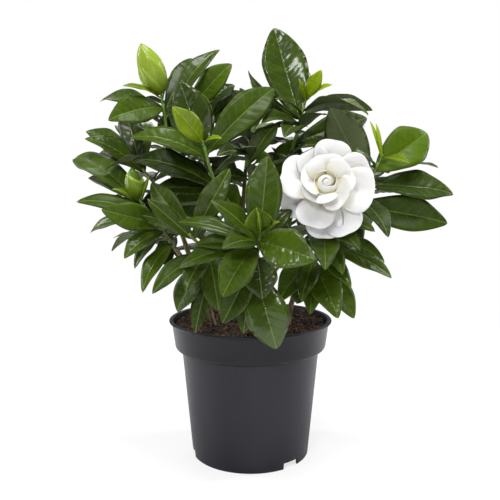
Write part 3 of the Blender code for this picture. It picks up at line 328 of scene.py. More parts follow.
# ---- light young growth on a shoot's crown, mm ------------------------------
# node: its shoot, a bud's tip and width (None and 0 without one), length of the stalk, and
# the young leaves: height on the stalk, tip, width, face
TIPS = {
    "bud_top_left": ("shoot_top_left", (-80, -26, 320), 22, 8, (
        (0.4, (-91, -41, 288), 9, UP_FRONT),
        (0.3, (-56, -17, 303), 4.5, LEFT),
    )),
    "bud_left": ("shoot_left", (-85, -48, 230), 15, 8, (
        (0.4, (-98, -52, 215), 6, UP_FRONT),
        (0.4, (-72, -50, 224), 4, FRONT),
    )),
    "tip_left_centre": ("shoot_left_centre", None, 0, 6, (
        (0.5, (-52, -70, 270), 18, FRONT),
        (0.4, (-20, -62, 250), 7, UP_FRONT),
    )),
    "tip_top_right": ("shoot_top_right", None, 0, 6, (
        (0.9, (52, -26, 301), 12, FRONT),
        (0.8, (44, -22, 300), 7, RIGHT),
        (0.5, (60, -26, 291), 8, UP_FRONT),
        (0.6, (36, -24, 295), 5, FRONT),
    )),
    "tip_right": ("shoot_right", None, 0, 6, (
        (0.8, (87, -34, 264), 3, FRONT),
        (0.8, (91, -37, 262), 3, FRONT),
        (0.4, (111, -58, 233), 10, UP_FRONT),
    )),
    "tip_front": ("shoot_front", None, 0, 5, (
        (0.7, (4, -106, 204), 20, FRONT),
        (0.9, (5, -111, 202), 3.5, FRONT),
        (0.5, (18, -107, 196), 7, UP_FRONT),
    )),
    "tip_centre": ("shoot_centre", None, 0, 6, (
        (0.7, (0, 28, 300), 8, UP_FRONT),
        (0.5, (20, 40, 296), 8, UP),
    )),
    "tip_rear_top": ("shoot_rear_top", None, 0, 6, (
        (0.7, (-14, 92, 284), 12, BACK),
        (0.5, (8, 98, 276), 9, UP_BACK),
    )),
    "bud_rear_left": ("shoot_rear_left", (-64, 82, 266), 15, 8, (
        (0.4, (-80, 86, 250), 7, UP_BACK),
        (0.4, (-46, 84, 256), 6, UP_BACK),
    )),
    "tip_rear_right": ("shoot_rear_right", None, 0, 6, (
        (0.7, (70, 78, 272), 13, BACK),
        (0.5, (82, 66, 262), 9, UP),
    )),
    "tip_right_rear": ("shoot_right_rear", None, 0, 6, (
        (0.7, (112, 44, 228), 11, UP_BACK),
        (0.5, (100, 54, 230), 7, BACK),
    )),
}

# ---- bloom, mm --------------------------------------------------------------
BLOOM_THROAT = (51.5, -71, 217)
BLOOM_AXIS = (-0.08, -1, 0.28)
STALK_LENGTH = 5.0
CALYX_LENGTH = 8.0
CALYX_RADIUS = 3.4
CALYX_LOBES = 6
LOBE_WIDTH = 1.6
TUBE_RADIUS = 2.4       # of the petals' tube
# each petal: its whorl from the outside in, angle from the bloom's right side upwards, reach,
# lift along the axis, width; the fourth whorl keeps the room that the furled heart fills here
PETALS = (
    (0, 206, 34, 0, 25), (0, 268, 36, 0, 27), (0, 296, 36, 1, 29), (0, 50, 27, 0, 25),
    (0, 137, 27, 0, 25),
    (1, 79, 33, 6, 27), (1, 24, 33, 6, 28), (1, 350, 32, 7, 32), (1, 249, 31, 7, 28),
    (1, 165, 31, 7, 33), (1, 118, 27, 7, 26),
    (2, 95, 19, 12, 27), (2, 20, 18, 12, 25), (2, 310, 18, 12, 25), (2, 235, 17, 12, 25),
    (2, 165, 18, 12, 25),
    (3, 70, 8, 17, 13), (3, 190, 8, 17, 13), (3, 310, 8, 17, 13),
)
PETAL_ROOT = 2.2        # off the axis
WHORL_RISE = 1.5        # from one whorl's roots to the next
# by whorl
PETAL_ARCH = (-0.10, -0.04, 0.16, 0.30)
PETAL_CUP = (0.05, 0.12, 0.35, 0.70)
PETAL_TURN_IN = (0.0, 0.1, 0.6, 1.0)    # from facing along the axis to facing the middle


def vec(point):
    return Vector(point) * MM


def heading(turn):
    """A level direction, in degrees round from the front towards +X."""
    return Vector((sin(radians(turn)), -cos(radians(turn)), 0.0))


def bulge(widest, fall, t, foot=1.0):
    """A blade's outline: 0 at its root, 1 at its widest share and 0 at its tip."""
    rise = widest / (1.0 - widest)
    peak = widest ** (fall * rise) * (1.0 - widest) ** fall
    return t ** (fall * rise * foot) * max(0.0, 1.0 - t) ** fall / peak


def smooth_step(low, high, value):
    share = min(1.0, max(0.0, (value - low) / (high - low)))
    return share * share * (3.0 - 2.0 * share)


# ---- shape of one blade -----------------------------------------------------

SHELL_ROWS = 5          # of the sleeve that stands for a blade in the crossing test
SHELL_SKIN = 0.1        # mm


def rounded(points, count):
    """The points of a soft curve through a limb's own points, in metres."""
    knots = [vec(p) for p in points]
    ends = [2 * knots[0] - knots[1]] + knots + [2 * knots[-1] - knots[-2]]
    route = []
    for before, start, stop, after in zip(ends, ends[1:], ends[2:], ends[3:]):
        for step in range(count):
            t = step / count
            route.append(0.5 * (2 * start + (stop - before) * t
                                + (2 * before - 5 * start + 4 * stop - after) * t * t
                                + (3 * start - before - 3 * stop + after) * t ** 3))
    return route + [knots[-1]]


def along(route, t):
    """The point a share t of the way along a route."""
    lengths = [(b - a).length for a, b in zip(route, route[1:])]
    left = t * sum(lengths)
    for start, stop, length in zip(route, route[1:], lengths):
        if left <= length:
            return start.lerp(stop, left / length)
        left -= length
    return route[-1].copy()


class Blade:
    """A leaf or petal from root to tip, with its upper face looking one way.

    Arch is a share of the length, fold of the half width and wave of the width. Twist and phase
    are in radians. Blunt runs from pointed at 0 to broad at 1, cup is how late the two halves
    turn up, and widest is the share of the length at which the blade is broadest.
    """

    def __init__(self, root, tip, width, face, arch, fold=0.25, wave=0.05, twist=0.0, phase=0.0,
                 blunt=0.0, cup=1.0, widest=0.54):
        self.root, self.tip, self.width = root, tip, width * MM
        self.face, self.arch, self.fold = Vector(face), arch, fold
        self.wave, self.twist, self.phase = wave, twist, phase
        self.blunt, self.cup = blunt, cup
        self.widest = widest

    def half_width(self, t):
        outline = bulge(self.widest, 0.85 - 0.48 * self.blunt, t)
        end = 0.45 * self.blunt * max(0.0, t - 0.6) / 0.4
        return 0.5 * self.width * max(outline, end) + 0.5 * ROOT_WIDTH * MM * (1.0 - t) ** 3

    def normal(self, t):
        """Where the upper face looks, a share t towards the tip."""
        ahead = (self.tip - self.root).normalized()
        level = (self.face - self.face.dot(ahead) * ahead).normalized()
        return Matrix.Rotation(self.twist * (t - 0.5), 3, ahead) @ level

    def point(self, t, s):
        """The middle of the blade a share t towards the tip and s across, from -1 to 1."""
        chord = self.tip - self.root
        normal = self.normal(t)
        side = chord.normalized().cross(normal)
        half = self.half_width(t)
        lift = self.arch * chord.length * 4 * t * (1 - t)
        lift += half * self.fold * abs(s) ** self.cup
        lift += self.wave * self.width * s * s * sin(9.0 * t + self.phase + 0.8 * s) * sin(pi * t)
        return self.root + chord * t + side * half * s + normal * lift

    def bent(self, turn, lift):
        """The same blade turned about the vertical and raised at its root, in degrees."""
        chord = self.tip - self.root
        flat = Vector((-chord.y, chord.x, 0.0))
        if flat.length < 1e-6:
            flat = Vector((1.0, 0.0, 0.0))
        swing = Matrix.Rotation(radians(turn), 3, "Z") @ Matrix.Rotation(radians(-lift), 3, flat)
        other = copy(self)
        other.tip = self.root + swing @ chord
        return other

    def shell(self, start, margin):
        """A closed sleeve round the blade from share start to the tip, for the crossing test."""
        points = []
        stations = [start + (1.0 - start) * k / SHELL_ROWS for k in range(SHELL_ROWS + 1)]
        for t in stations:
            normal = self.normal(t)
            grow = 1.0 + margin / max(self.half_width(t), 0.5 * MM)
            for s, half in ((-grow, margin), (0.0, 0.5 * BLADE_THICK * MM + margin), (grow, margin)):
                middle = self.point(t, s)
                points.append(middle + normal * (half + SHELL_SKIN * MM))
                points.append(middle - normal * (half + SHELL_SKIN * MM))
        faces = []
        for row in range(SHELL_ROWS):
            a, b = 6 * row, 6 * row + 6
            for low, high in ((0, 2), (2, 4), (5, 3), (3, 1), (4, 5), (1, 0)):
                faces.append((a + low, a + high, b + high, b + low))
        top = 6 * SHELL_ROWS
        faces += [(0, 1, 3, 2), (2, 3, 5, 4)]
        faces += [(top, top + 2, top + 3, top + 1), (top + 2, top + 4, top + 5, top + 3)]
        return points, faces


# ---- what is already in place -----------------------------------------------

# turn and lift, in degrees, that a blade is bent by until it is clear, the least first
BENDS = ((0, 0),) + tuple(
    (size * a, size * b)
    for size in (4, 7, 11, 16, 22)
    for a, b in ((1, 0), (-1, 0), (0, 1), (0, -1), (0.7, 0.7), (-0.7, 0.7), (0.7, -0.7), (-0.7, -0.7))
)


def sleeve(route, radius):
    """A six-sided sleeve round a stem's route, for the crossing test."""
    points, faces = [], []
    for index, place in enumerate(route):
        ahead = (route[min(index + 1, len(route) - 1)] - route[max(index - 1, 0)]).normalized()
        side = ahead.orthogonal().normalized()
        for k in range(6):
            points.append(place + Matrix.Rotation(pi * k / 3, 3, ahead) @ side * radius * MM)
    for row in range(len(route) - 1):
        for k in range(6):
            a, b = 6 * row + k, 6 * row + (k + 1) % 6
            faces.append((a, b, b + 6, a + 6))
    top = 6 * (len(route) - 1)
    faces += [tuple(range(6)), tuple(range(top, top + 6))]
    return points, faces


class Growth:
    """Everything placed so far, for keeping new blades clear of it."""

    ROOT_SHARE = 0.3    # blades of one node meet at their roots, so only the rest is tested
    TESTED = (0.3, 0.5, 0.7, 0.85, 1.0)     # shares along a blade that are held against the pot

    def __init__(self):
        self.placed = []

    def add_stem(self, owner, route, radius):
        tree = BVHTree.FromPolygons(*sleeve(route, radius))
        self.placed.append((owner, tree, tree))

    def add_blade(self, owner, blade):
        whole = BVHTree.FromPolygons(*blade.shell(0.0, 0.0))
        outer = BVHTree.FromPolygons(*blade.shell(self.ROOT_SHARE, 0.0))
        self.placed.append((owner, whole, outer))

    def is_clear(self, owner, blade, own=True):
        for t in self.TESTED:
            for s in (-1, 0, 1):
                place = blade.point(t, s) / MM
                low = place.z < POT_HEIGHT + RIM_CLEARANCE
                if low and place.xy.length < LIP_RADIUS + RIM_CLEARANCE:
                    return False
        whole = BVHTree.FromPolygons(*blade.shell(0.0, CLEARANCE * MM))
        outer = BVHTree.FromPolygons(*blade.shell(self.ROOT_SHARE, CLEARANCE * MM))
        for other, other_whole, other_outer in self.placed:
            if other == owner:
                if own and outer.overlap(other_outer):
                    return False
            elif whole.overlap(other_whole):
                return False
        return True

    def grow(self, owner, blade, own=True):
        """The blade with the least bend that is clear, or None."""
        for turn, lift in BENDS:
            tried = blade.bent(turn, lift)
            if self.is_clear(owner, tried, own):
                self.add_blade(owner, tried)
                return tried
        return None

    def grow_leaves(self, owner, route, leaves, twist, draw, own=True):
        """The leaves of a table row that find room, each twisted by up to so much."""
        kept = []
        for t, tip, width, face, arch in leaves:
            blade = Blade(leaf_root(route, t, vec(tip)), vec(tip), width, face, arch,
                          twist=draw.uniform(-twist, twist), phase=draw.uniform(0, 6))
            kept.append(self.grow(owner, blade, own))
        return [blade for blade in kept if blade]


# ---- the plant's plan: routes and blades, before any mesh is made -----------

def limb_routes(plant):
    """Each limb's route and its radius at the foot."""
    radius, (trunk, *others) = PLANTS[plant]
    return [(rounded(trunk, 2), radius)] + [(rounded(limb, 1), radius * SIDE_LIMB) for limb in others]


def onward(route):
    """Where the next piece starts, a gap past the end of a route, and which way it sets out."""
    ahead = (route[-1] - route[-2]).normalized()
    return route[-1] + ahead * GAP * MM, ahead


def shoot_route(name):
    plant, limb, crown = SHOOTS[name][:3]
    foot, ahead = onward(limb_routes(plant)[limb][0])
    start, stop = foot + ahead * SHOOT_FOOT * MM, vec(crown)
    lead = start + ahead * 0.4 * (stop - start).length
    bow = [start.lerp(lead, t).lerp(lead.lerp(stop, t), t) for t in (0.0, 0.33, 0.67, 1.0)]
    return [foot] + bow


def stalk_route(tip_name):
    shoot, length = TIPS[tip_name][0], TIPS[tip_name][3]
    foot, ahead = onward(shoot_route(shoot))
    return [foot, foot + ahead * length * MM]


def leaf_root(route, t, tip):
    """A leaf springs from just off the stem's middle, on the side of its tip."""
    middle = along(route, t)
    aside = tip - middle
    aside.z = 0.0
    return middle + aside.normalized() * LEAF_OFFSET * MM if aside.length > 1e-6 else middle


def whorl_blades(name, route, draw):
    """Whorls of leaves, each turned half a step from the one below."""
    heights, length, first, open_front = SHOOTS[name][3:]
    for index, t in enumerate(heights):
        for k in range(WHORL_SIZE):
            turn = first + WHORL_STEP * index + 360 / WHORL_SIZE * k + draw.uniform(-SWAY, SWAY)
            rise = LOWEST_RISE + CROWN_RISE * t + draw.uniform(-NOD, NOD)
            reach = length * (1.0 - CROWN_SHORT * max(0.0, t - 0.6) / 0.4) * draw.uniform(*LENGTHS)
            width = reach * draw.uniform(*WIDTHS)
            arch, twist = draw.uniform(*ARCHES), draw.uniform(*TWISTS)
            phase = draw.uniform(0.0, 6.0)
            if open_front and cos(radians(turn)) > FRONT_SHARE:
                continue
            slope = heading(turn) * cos(radians(rise)) + Vector(UP) * sin(radians(rise))
            root = along(route, t)
            tip = root + slope * reach * MM
            if tip.y > SPREAD_BACK * MM:
                tip = root.lerp(tip, (SPREAD_BACK * MM - root.y) / (tip.y - root.y))
            yield Blade(leaf_root(route, t, tip), tip, width, UP, arch, twist=twist, phase=phase)


def bloom_frame():
    """The throat of the bloom, the way it looks, and its own right and up."""
    axis = Vector(BLOOM_AXIS).normalized()
    across = Vector(UP).cross(axis).normalized()
    upward = axis.cross(across).normalized()
    return vec(BLOOM_THROAT), axis, across, upward


def petal_blades():
    """Petals in whorls round the bloom's axis."""
    throat, axis, across, upward = bloom_frame()
    draw = random.Random(PETAL_SEED)
    blades = []
    for whorl, angle, reach, lift, width in PETALS:
        inward = PETAL_TURN_IN[whorl]
        out = across * cos(radians(angle)) + upward * sin(radians(angle))
        root = throat + (out * PETAL_ROOT + axis * (whorl * WHORL_RISE - 1.0)) * MM
        far = reach * draw.uniform(0.97, 1.03)
        tip = throat + (out * far + axis * (lift + draw.uniform(-1, 1))) * MM
        blades.append(Blade(
            root, tip, width, axis * (1 - inward) - out * inward,
            PETAL_ARCH[whorl], fold=PETAL_CUP[whorl], cup=2.0, wave=0.05,
            twist=draw.uniform(-0.15, 0.15), phase=draw.uniform(0, 6), blunt=1.0, widest=0.62))
    return blades


def plan_growth():
    """Every blade by node, each bent clear of what was placed before it."""
    growth = Growth()
    blades = {}
    for plant in PLANTS:
        for route, start in limb_routes(plant):
            growth.add_stem(plant, route, 0.5 * (start + LIMB_END_RADIUS) + 0.3)
    for name in SHOOTS:
        growth.add_stem(name, shoot_route(name), SHOOT_RADIUS)
    for name, row in TIPS.items():
        growth.add_stem(name, stalk_route(name), STALK_RADIUS + 0.2)
        bud_tip, bud_width = row[1:3]
        if bud_tip:
            top = stalk_route(name)[1]
            belly = top.lerp(vec(bud_tip), 0.45)
            growth.add_stem(name, [top, top.lerp(belly, 0.5), belly], BUD_ROOM[0] * bud_width)
            growth.add_stem(name, [belly, belly.lerp(vec(bud_tip), 0.6)], BUD_ROOM[1] * bud_width)
    throat = bloom_frame()[0]
    growth.add_stem("calyx", [shoot_route("shoot_bloom")[-1], throat], CALYX_RADIUS + 1.2)
    blades["bloom"] = petal_blades()
    for blade in blades["bloom"]:
        growth.add_blade("bloom", blade)
    draw = random.Random(PLAN_SEED)
    for name, leaves in LEAVES.items():
        blades[name] = growth.grow_leaves(name, shoot_route(name), leaves, 0.3, draw)
    for name in TIPS:
        young = [(*leaf, YOUNG_ARCH) for leaf in TIPS[name][4]]
        blades[name] = growth.grow_leaves(name, stalk_route(name), young, 0.2, draw, own=False)
    for name in SHOOTS:
        kept = [growth.grow(name, blade) for blade in whorl_blades(name, shoot_route(name), draw)]
        blades[name] = blades.get(name, []) + [blade for blade in kept if blade]
    return blades


# ---- objects ----------------------------------------------------------------

def plain_object(bm, name):
    mesh = bpy.data.meshes.new(name)
    bm.to_mesh(mesh)
    bm.free()
    made = bpy.data.objects.new(name, mesh)
    bpy.context.scene.collection.objects.link(made)
    return made


def piece_from(bm, name, finish, nodes):
    """A finished mesh as a piece of the object that stands for the given nodes."""
    piece = plain_object(bm, name)
    piece.data.shade_smooth()
    piece.data.materials.append(finish)
    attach(piece, "root")
    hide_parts(*nodes)
    return piece


def ring_edges(ring):
    own = set(ring)
    return list({edge for vert in ring for edge in vert.link_edges if edge.other_vert(vert) in own})


def add_tube(bm, points, radii, sides=12):
    """A round closed tube along the points, with its own radius in mm at each."""
    side = (points[1] - points[0]).orthogonal().normalized()
    rings = []
    for index, (place, radius) in enumerate(zip(points, radii)):
        ahead = (points[min(index + 1, len(points) - 1)] - points[max(index - 1, 0)]).normalized()
        side = (side - side.dot(ahead) * ahead).normalized()
        turn = Matrix((side, ahead.cross(side), ahead)).transposed().to_4x4()
        turn.translation = place
        ring = bmesh.ops.create_circle(bm, segments=sides, radius=radius * MM, matrix=turn)["verts"]
        rings.append(ring)
    faces = []
    for low, high in zip(rings, rings[1:]):
        edges = [edge for ring in (low, high) for edge in ring_edges(ring)]
        faces += bmesh.ops.bridge_loops(bm, edges=edges)["faces"]
    for ring in (rings[0], rings[-1]):
        faces += bmesh.ops.contextual_create(bm, geom=ring_edges(ring))["faces"]
    bmesh.ops.recalc_face_normals(bm, faces=faces)
    return [vert for ring in rings for vert in ring]


def wrapped(vert):
    """Which face of a sheet a grid's vertex wraps to, and how far across that it lies, -1 to 1."""
    turn = (vert.co.x + 1.0) * 0.5
    above = turn <= 0.5
    return above, 4.0 * turn - 1.0 if above else 3.0 - 4.0 * turn


# ---- leaves -----------------------------------------------------------------

LEAF_THICK = 0.5        # mm
SIDE_VEINS = 9          # pairs along a leaf
VEIN_REACH = 0.75       # how far a side vein runs forward, as a share of the half width
SWELL = 0.45            # mm, how far the blade stands up between its side veins
BLISTER = 0.35          # mm, of the smaller uneven swellings
GROOVE = 0.45           # mm, depth of the midrib's groove above
RIB = 0.60              # mm, height of the midrib under the blade
LARGE_LEAF = 17.0       # mm, wider leaves have the finer mesh
LARGE_ROWS, LARGE_COLUMNS = 54, 12
SMALL_ROWS, SMALL_COLUMNS = 27, 8
LEAF_FALL = 0.68        # how blunt the outline is: 1 runs straight to the tip
LEAF_FOOT = 1.25        # how much slimmer it is towards the petiole
TIP_FROM = 0.62         # share along the leaf from which it draws out to a point
TIP_SLIM = 0.27
CURL_FROM = 0.72        # share along the leaf from which its tip hangs down
CURLS = (0.15, 0.5)
RIB_SPREAD = 0.8        # mm, half the breadth of the midrib
FULL_RELIEF = 28.0      # mm, a leaf this wide swells in full between its veins
VEIN_WANDER = 0.22      # how far a side vein strays, as a share of the step to the next
UNEVEN = 0.045          # slow rise and fall of the blade, as a share of its width
END_SLOPE = 12.0        # a leaf thins out over one part in so many of its length, at either end
WELD = 0.00001          # metres, within which a sheet's two faces join at its margin

# how light the listed leaves are, from old and dark at 0 to fresh at 1
TONES = {
    "shoot_top_left": (0.5, 0.35, 0.2, 0.35, 0.25, 0.3),
    "shoot_left_centre": (0.25, 0.4, 0.5, 0.15, 0.15),
    "shoot_centre_front": (0.1, 0.2, 0.2, 0.15, 0.15),
    "shoot_top_centre": (0.75, 0.15, 0.2, 0.25),
    "shoot_top_right": (0.45, 0.6, 0.4, 0.4, 0.45, 0.3, 0.35, 0.2, 0.2, 0.35, 0.5, 0.3, 0.8),
    "shoot_right": (0.9, 0.35, 0.35, 0.15, 0.25, 0.35, 0.25),
    "shoot_left": (0.55, 0.45, 0.4, 0.5, 0.6, 0.4, 0.3, 0.3, 0.6),
    "shoot_front_left": (0.35, 0.2, 0.25, 0.3),
    "shoot_front": (0.55, 0.4, 0.4, 0.4, 0.4, 0.35, 0.55, 0.55, 0.15, 0.15, 0.2, 0.45),
    "shoot_bloom": (0.4, 0.35, 0.6, 0.4, 0.4, 0.6, 0.7, 0.45, 0.45, 0.65, 0.6, 0.4),
    "shoot_core_left": (0.5, 0.7, 0.1),
    "shoot_left_rear": (0.3, 0.5, 0.5, 0.3, 0.1),
    "bud_top_left": (0.4, 0.5),
    "bud_left": (0.15, 0.1),
    "tip_left_centre": (0.6, 0.6),
    "tip_top_right": (1.0, 1.0, 0.9, 0.7),
    "tip_right": (1.0, 1.0, 0.3),
    "tip_front": (0.1, 0.15, 0.15),
}
# the glossiest of them, by their place in the table
LACQUERED = {
    "shoot_top_right": (0,),
    "shoot_left_centre": (0,),
    "shoot_front": (7, 11),
}


def leaf_layers(bm):
    """What a leaf's finish reads: mm from the rib, count of side veins, age, face, margin, gloss."""
    names = ("across", "vein", "tone", "upper", "margin", "shine")
    return {name: bm.verts.layers.float.new(name) for name in names}


def mark(vert, layers, **values):
    for name, value in values.items():
        vert[layers[name]] = value


def leaf_half_width(blade, t):
    """Half the breadth a share t along: an ellipse drawn out to a short point, on a petiole."""
    outline = bulge(blade.widest, LEAF_FALL, t, LEAF_FOOT)
    outline *= 1.0 - TIP_SLIM * smooth_step(TIP_FROM, 1.0, t)
    petiole = 0.5 * ROOT_WIDTH * MM * (1.0 - t) ** 3
    return (0.5 * blade.width * outline + petiole) * min(1.0, t / 0.015) * min(1.0, (1.0 - t) / 0.005)


def calm_rib(t):
    """How far the midrib stands out: it fades towards both ends."""
    return smooth_step(0.0, 0.05, t) * smooth_step(0.0, 0.25, 1.0 - t)


def add_leaf(bm, layers, blade, tone, shine, draw):
    """One leaf: both faces wrapped from one grid, with the ribs and veins in its form."""
    large = blade.width > LARGE_LEAF * MM
    rows, columns = (LARGE_ROWS, LARGE_COLUMNS) if large else (SMALL_ROWS, SMALL_COLUMNS)
    verts = bmesh.ops.create_grid(bm, x_segments=2 * columns, y_segments=rows, size=1.0)["verts"]
    chord = blade.tip - blade.root
    length = chord.length
    ahead = chord.normalized()
    curl = draw.uniform(*CURLS) if blade.arch > 0 else 0.1
    swell = SWELL * MM * min(1.0, blade.width / (FULL_RELIEF * MM)) * (0.75 + shine)
    ripple = blade.wave * blade.width
    stations = {}
    for row in range(rows + 1):
        t = row / rows
        normal = blade.normal(t)
        drop = curl * length * max(0.0, t - CURL_FROM) ** 2
        middle = blade.root + chord * t + normal * (blade.arch * length * 4 * t * (1 - t) - drop)
        stations[row] = (t, normal, ahead.cross(normal), leaf_half_width(blade, t), middle)
    for vert in verts:
        above, spread = wrapped(vert)
        s = copysign(abs(spread) ** 1.5, spread)
        t, normal, side, half, middle = stations[round((vert.co.y + 1.0) * 0.5 * rows)]
        width = abs(s)
        spot = Vector((5.0 * t, 1.6 * s, 7.0 * blade.phase))
        vein = SIDE_VEINS * (t - VEIN_REACH * half * width ** 1.15 / length)
        vein = vein + VEIN_WANDER * noise.noise(spot)
        calm = smooth_step(0.0, 0.22, 1.0 - width)
        calm = calm * smooth_step(0.03, 0.14, t) * smooth_step(0.0, 0.12, 1.0 - t)
        height = half * blade.fold * width ** blade.cup
        height += ripple * s * s * (sin(9 * t + blade.phase + 0.8 * s)
                                    + 0.3 * sin(21 * t + 2 * blade.phase)) * sin(pi * t)
        height += swell * abs(sin(pi * vein)) ** 0.8 * calm * (1.0 + 0.9 * noise.noise(1.4 * spot))
        height += BLISTER * MM * noise.noise(2.3 * spot) * calm
        height += UNEVEN * blade.width * noise.noise(0.45 * spot) * width * sin(pi * t)
        near_rib = exp(-(s * half / (RIB_SPREAD * MM)) ** 2) * (1.0 - 0.6 * t)
        edge = sqrt(max(0.0, 1.0 - s ** 4))
        edge = edge * min(1.0, END_SLOPE * t) * min(1.0, END_SLOPE * (1.0 - t))
        if above:
            height += 0.5 * LEAF_THICK * MM * edge - GROOVE * MM * near_rib * calm_rib(t)
        else:
            height -= 0.5 * LEAF_THICK * MM * edge + RIB * MM * near_rib * calm_rib(t)
        vert.co = middle + side * half * s + normal * height
        mark(vert, layers, across=s * half / MM, vein=vein, tone=tone,
             upper=1.0 if above else 0.0, margin=width, shine=shine)
    bmesh.ops.remove_doubles(bm, verts=verts, dist=WELD)


def leaf_shine(name, index, draw):
    """How glossy a leaf is: a few are like wet lacquer, most are satin."""
    return 1.0 if index in LACQUERED.get(name, ()) else 0.7 * draw.random() ** 3


def leaf_tone(name, index, blade, crown, draw):
    """Young leaves near the crown are lighter than the old ones below."""
    tones = TONES.get(name, ())
    if index < len(tones):
        return min(1.0, max(0.0, tones[index] + draw.uniform(-0.05, 0.05)))
    age = min(1.0, (blade.root - crown).length / (60 * MM))
    return min(1.0, max(0.0, 0.42 * (1.0 - age) + draw.uniform(-0.08, 0.16)))


def make_leaves(name, blades, crown, finish, draw):
    bm = bmesh.new()
    layers = leaf_layers(bm)
    for index, blade in enumerate(blades):
        tone = leaf_tone(name, index, blade, crown, draw)
        add_leaf(bm, layers, blade, tone, leaf_shine(name, index, draw), draw)
    bmesh.ops.recalc_face_normals(bm, faces=bm.faces[:])
    for vert in bm.verts:     # no tip stands past the reach of the solid leaves
        vert.co = [min(max(value, least), most) for value, least, most in zip(vert.co, *CAD_BOX)]
    return piece_from(bm, name + "_leaves", finish, [name])


# ---- stems ------------------------------------------------------------------

NODE_SWELL = 0.22       # how much a twig swells at a whorl, as a share of its radius
NODE_SPAN = 0.05        # share of its length that the swelling takes
TWIG_TAPER = 0.12
KNOBS = (0.93, 1.07)    # a woody stem's radius goes up and down by this
BARK_SIDES = 14


def softened(route, count):
    """A denser route, in metres, through the same points."""
    return rounded([place / MM for place in route], count)


def make_twig(name, route, radius, finish):
    """A green shoot, a little swollen where each whorl of leaves springs from it."""
    points = softened(route, 5)
    heights = SHOOTS[name][3] if name in SHOOTS else (0.6,)
    last = len(points) - 1
    radii = []
    for index in range(last + 1):
        t = index / last
        swell = max([exp(-((t - height) / NODE_SPAN) ** 2) for height in heights])
        radii.append(radius * (1.0 - TWIG_TAPER * t) * (1.0 + NODE_SWELL * swell))
    bm = bmesh.new()
    add_tube(bm, points, radii)
    return piece_from(bm, name + "_twig", finish, [name])


def make_woody_stem(plant, finish, draw):
    """A trunk and its side limbs, a little knobbly, each limb sunk into what it springs from."""
    bm = bmesh.new()
    for index, (route, start) in enumerate(limb_routes(plant)):
        points = softened(route, 6 if index == 0 else 8)
        last = len(points) - 1
        even = [start + (LIMB_END_RADIUS - start) * k / last for k in range(last + 1)]
        radii = [radius * draw.uniform(*KNOBS) for radius in even]
        radii[0] = start
        add_tube(bm, points, radii, BARK_SIDES)
    return piece_from(bm, plant + "_bark", finish, [plant])


# ---- buds -------------------------------------------------------------------

BUD_FOLDS = 5
BUD_TWIST = 0.30        # turns from foot to tip
FOLD_DEPTH = 0.13       # how far a petal's free edge stands off, as a share of the radius
FOOT_SUNK = 2.0         # mm that the bud's foot stands in its stalk
BUD_SEGMENTS, BUD_RINGS = 90, 72
RIPENESS = {"bud_left": 0.45}     # a younger bud is greener
# the outermost petal of this bud has let go: the share of the height at which its rolled rim
# crosses the bud's middle, and how much higher it stands to the right
OPENED = {"bud_left": (0.70, -0.22)}
CLOSED = (2.0, 0.0)     # no rim at all, as it lies above the tip
RIM_WIDTH = 0.035       # as a share of the height
RIM_PROUD = 0.12        # as shares of the radius
INSIDE_SUNK = 0.20


def bud_outline(t):
    return t ** 0.55 * (1.0 - t) ** 0.75 / 0.444


def make_bud(name, finish):
    """A furled bud: its petals wrap over each other in a slow spiral up to the point."""
    start, top = stalk_route(name)
    tip, width = vec(TIPS[name][1]), TIPS[name][2] * MM
    foot = top - (top - start).normalized() * FOOT_SUNK * MM
    axis = tip - foot
    turn = axis.normalized().to_track_quat("Z", "Y").to_matrix()
    ripe = RIPENESS.get(name, 1.0)
    rim_height, rim_rise = OPENED.get(name, CLOSED)
    bm = bmesh.new()
    layers = leaf_layers(bm)
    bmesh.ops.create_uvsphere(bm, u_segments=BUD_SEGMENTS, v_segments=BUD_RINGS, radius=1.0)
    for vert in bm.verts:
        t = (vert.co.z + 1.0) * 0.5
        t = 0.5 - 0.5 * cos(pi * t)
        ring = vert.co.xy
        angle = ring.angle_signed(Vector((1, 0)), 0.0) if ring.length > 1e-6 else 0.0
        fold = (BUD_FOLDS * (angle / tau + BUD_TWIST * t)) % 1.0
        lap = FOLD_DEPTH * smooth_step(0.0, 0.12, t) * (fold ** 2 - 0.3)
        lap = lap * (1.0 - smooth_step(0.93, 1.0, fold))
        radius = 0.5 * width * bud_outline(t) * (0.97 + lap)
        place = ring.normalized() * radius if ring.length > 1e-6 else ring
        sideways = (turn @ place.to_3d()).x / (0.5 * width)
        past_rim = t - rim_height - rim_rise * sideways
        rim = exp(-(past_rim / RIM_WIDTH) ** 2)
        inside = smooth_step(0.0, 0.06, past_rim)
        place = place * (1.0 + RIM_PROUD * rim - INSIDE_SUNK * inside)
        vert.co = foot + turn @ Vector((place.x, place.y, t * axis.length))
        ripening = ripe * (0.35 + 0.65 * smooth_step(0.0, 0.5, t))
        mark(vert, layers, across=6.0 * fold * (1.0 - rim), vein=0.5,
             tone=ripening * (1.0 - inside) + 1.2 * rim, upper=1.0, shine=0.5)
    bmesh.ops.recalc_face_normals(bm, faces=bm.faces[:])
    return piece_from(bm, name + "_bud", finish, [name])


# ---- bloom ------------------------------------------------------------------

PETAL_ROWS, PETAL_COLUMNS = 30, 18
PETAL_THICK = 0.55      # mm
PETAL_FALL = 0.40       # how blunt the outline is
PETAL_FOOT = 1.1
ROLL_FROM = 0.62        # share of the length, and of the half width, from which a petal rolls back
PETAL_SWAY = 0.03       # a slow twist and the groove down the middle, as shares of the width
PETAL_GROOVE = 0.04
NOTCH_MOST = 0.05       # the deepest notch in a petal's tip, as a share of its length
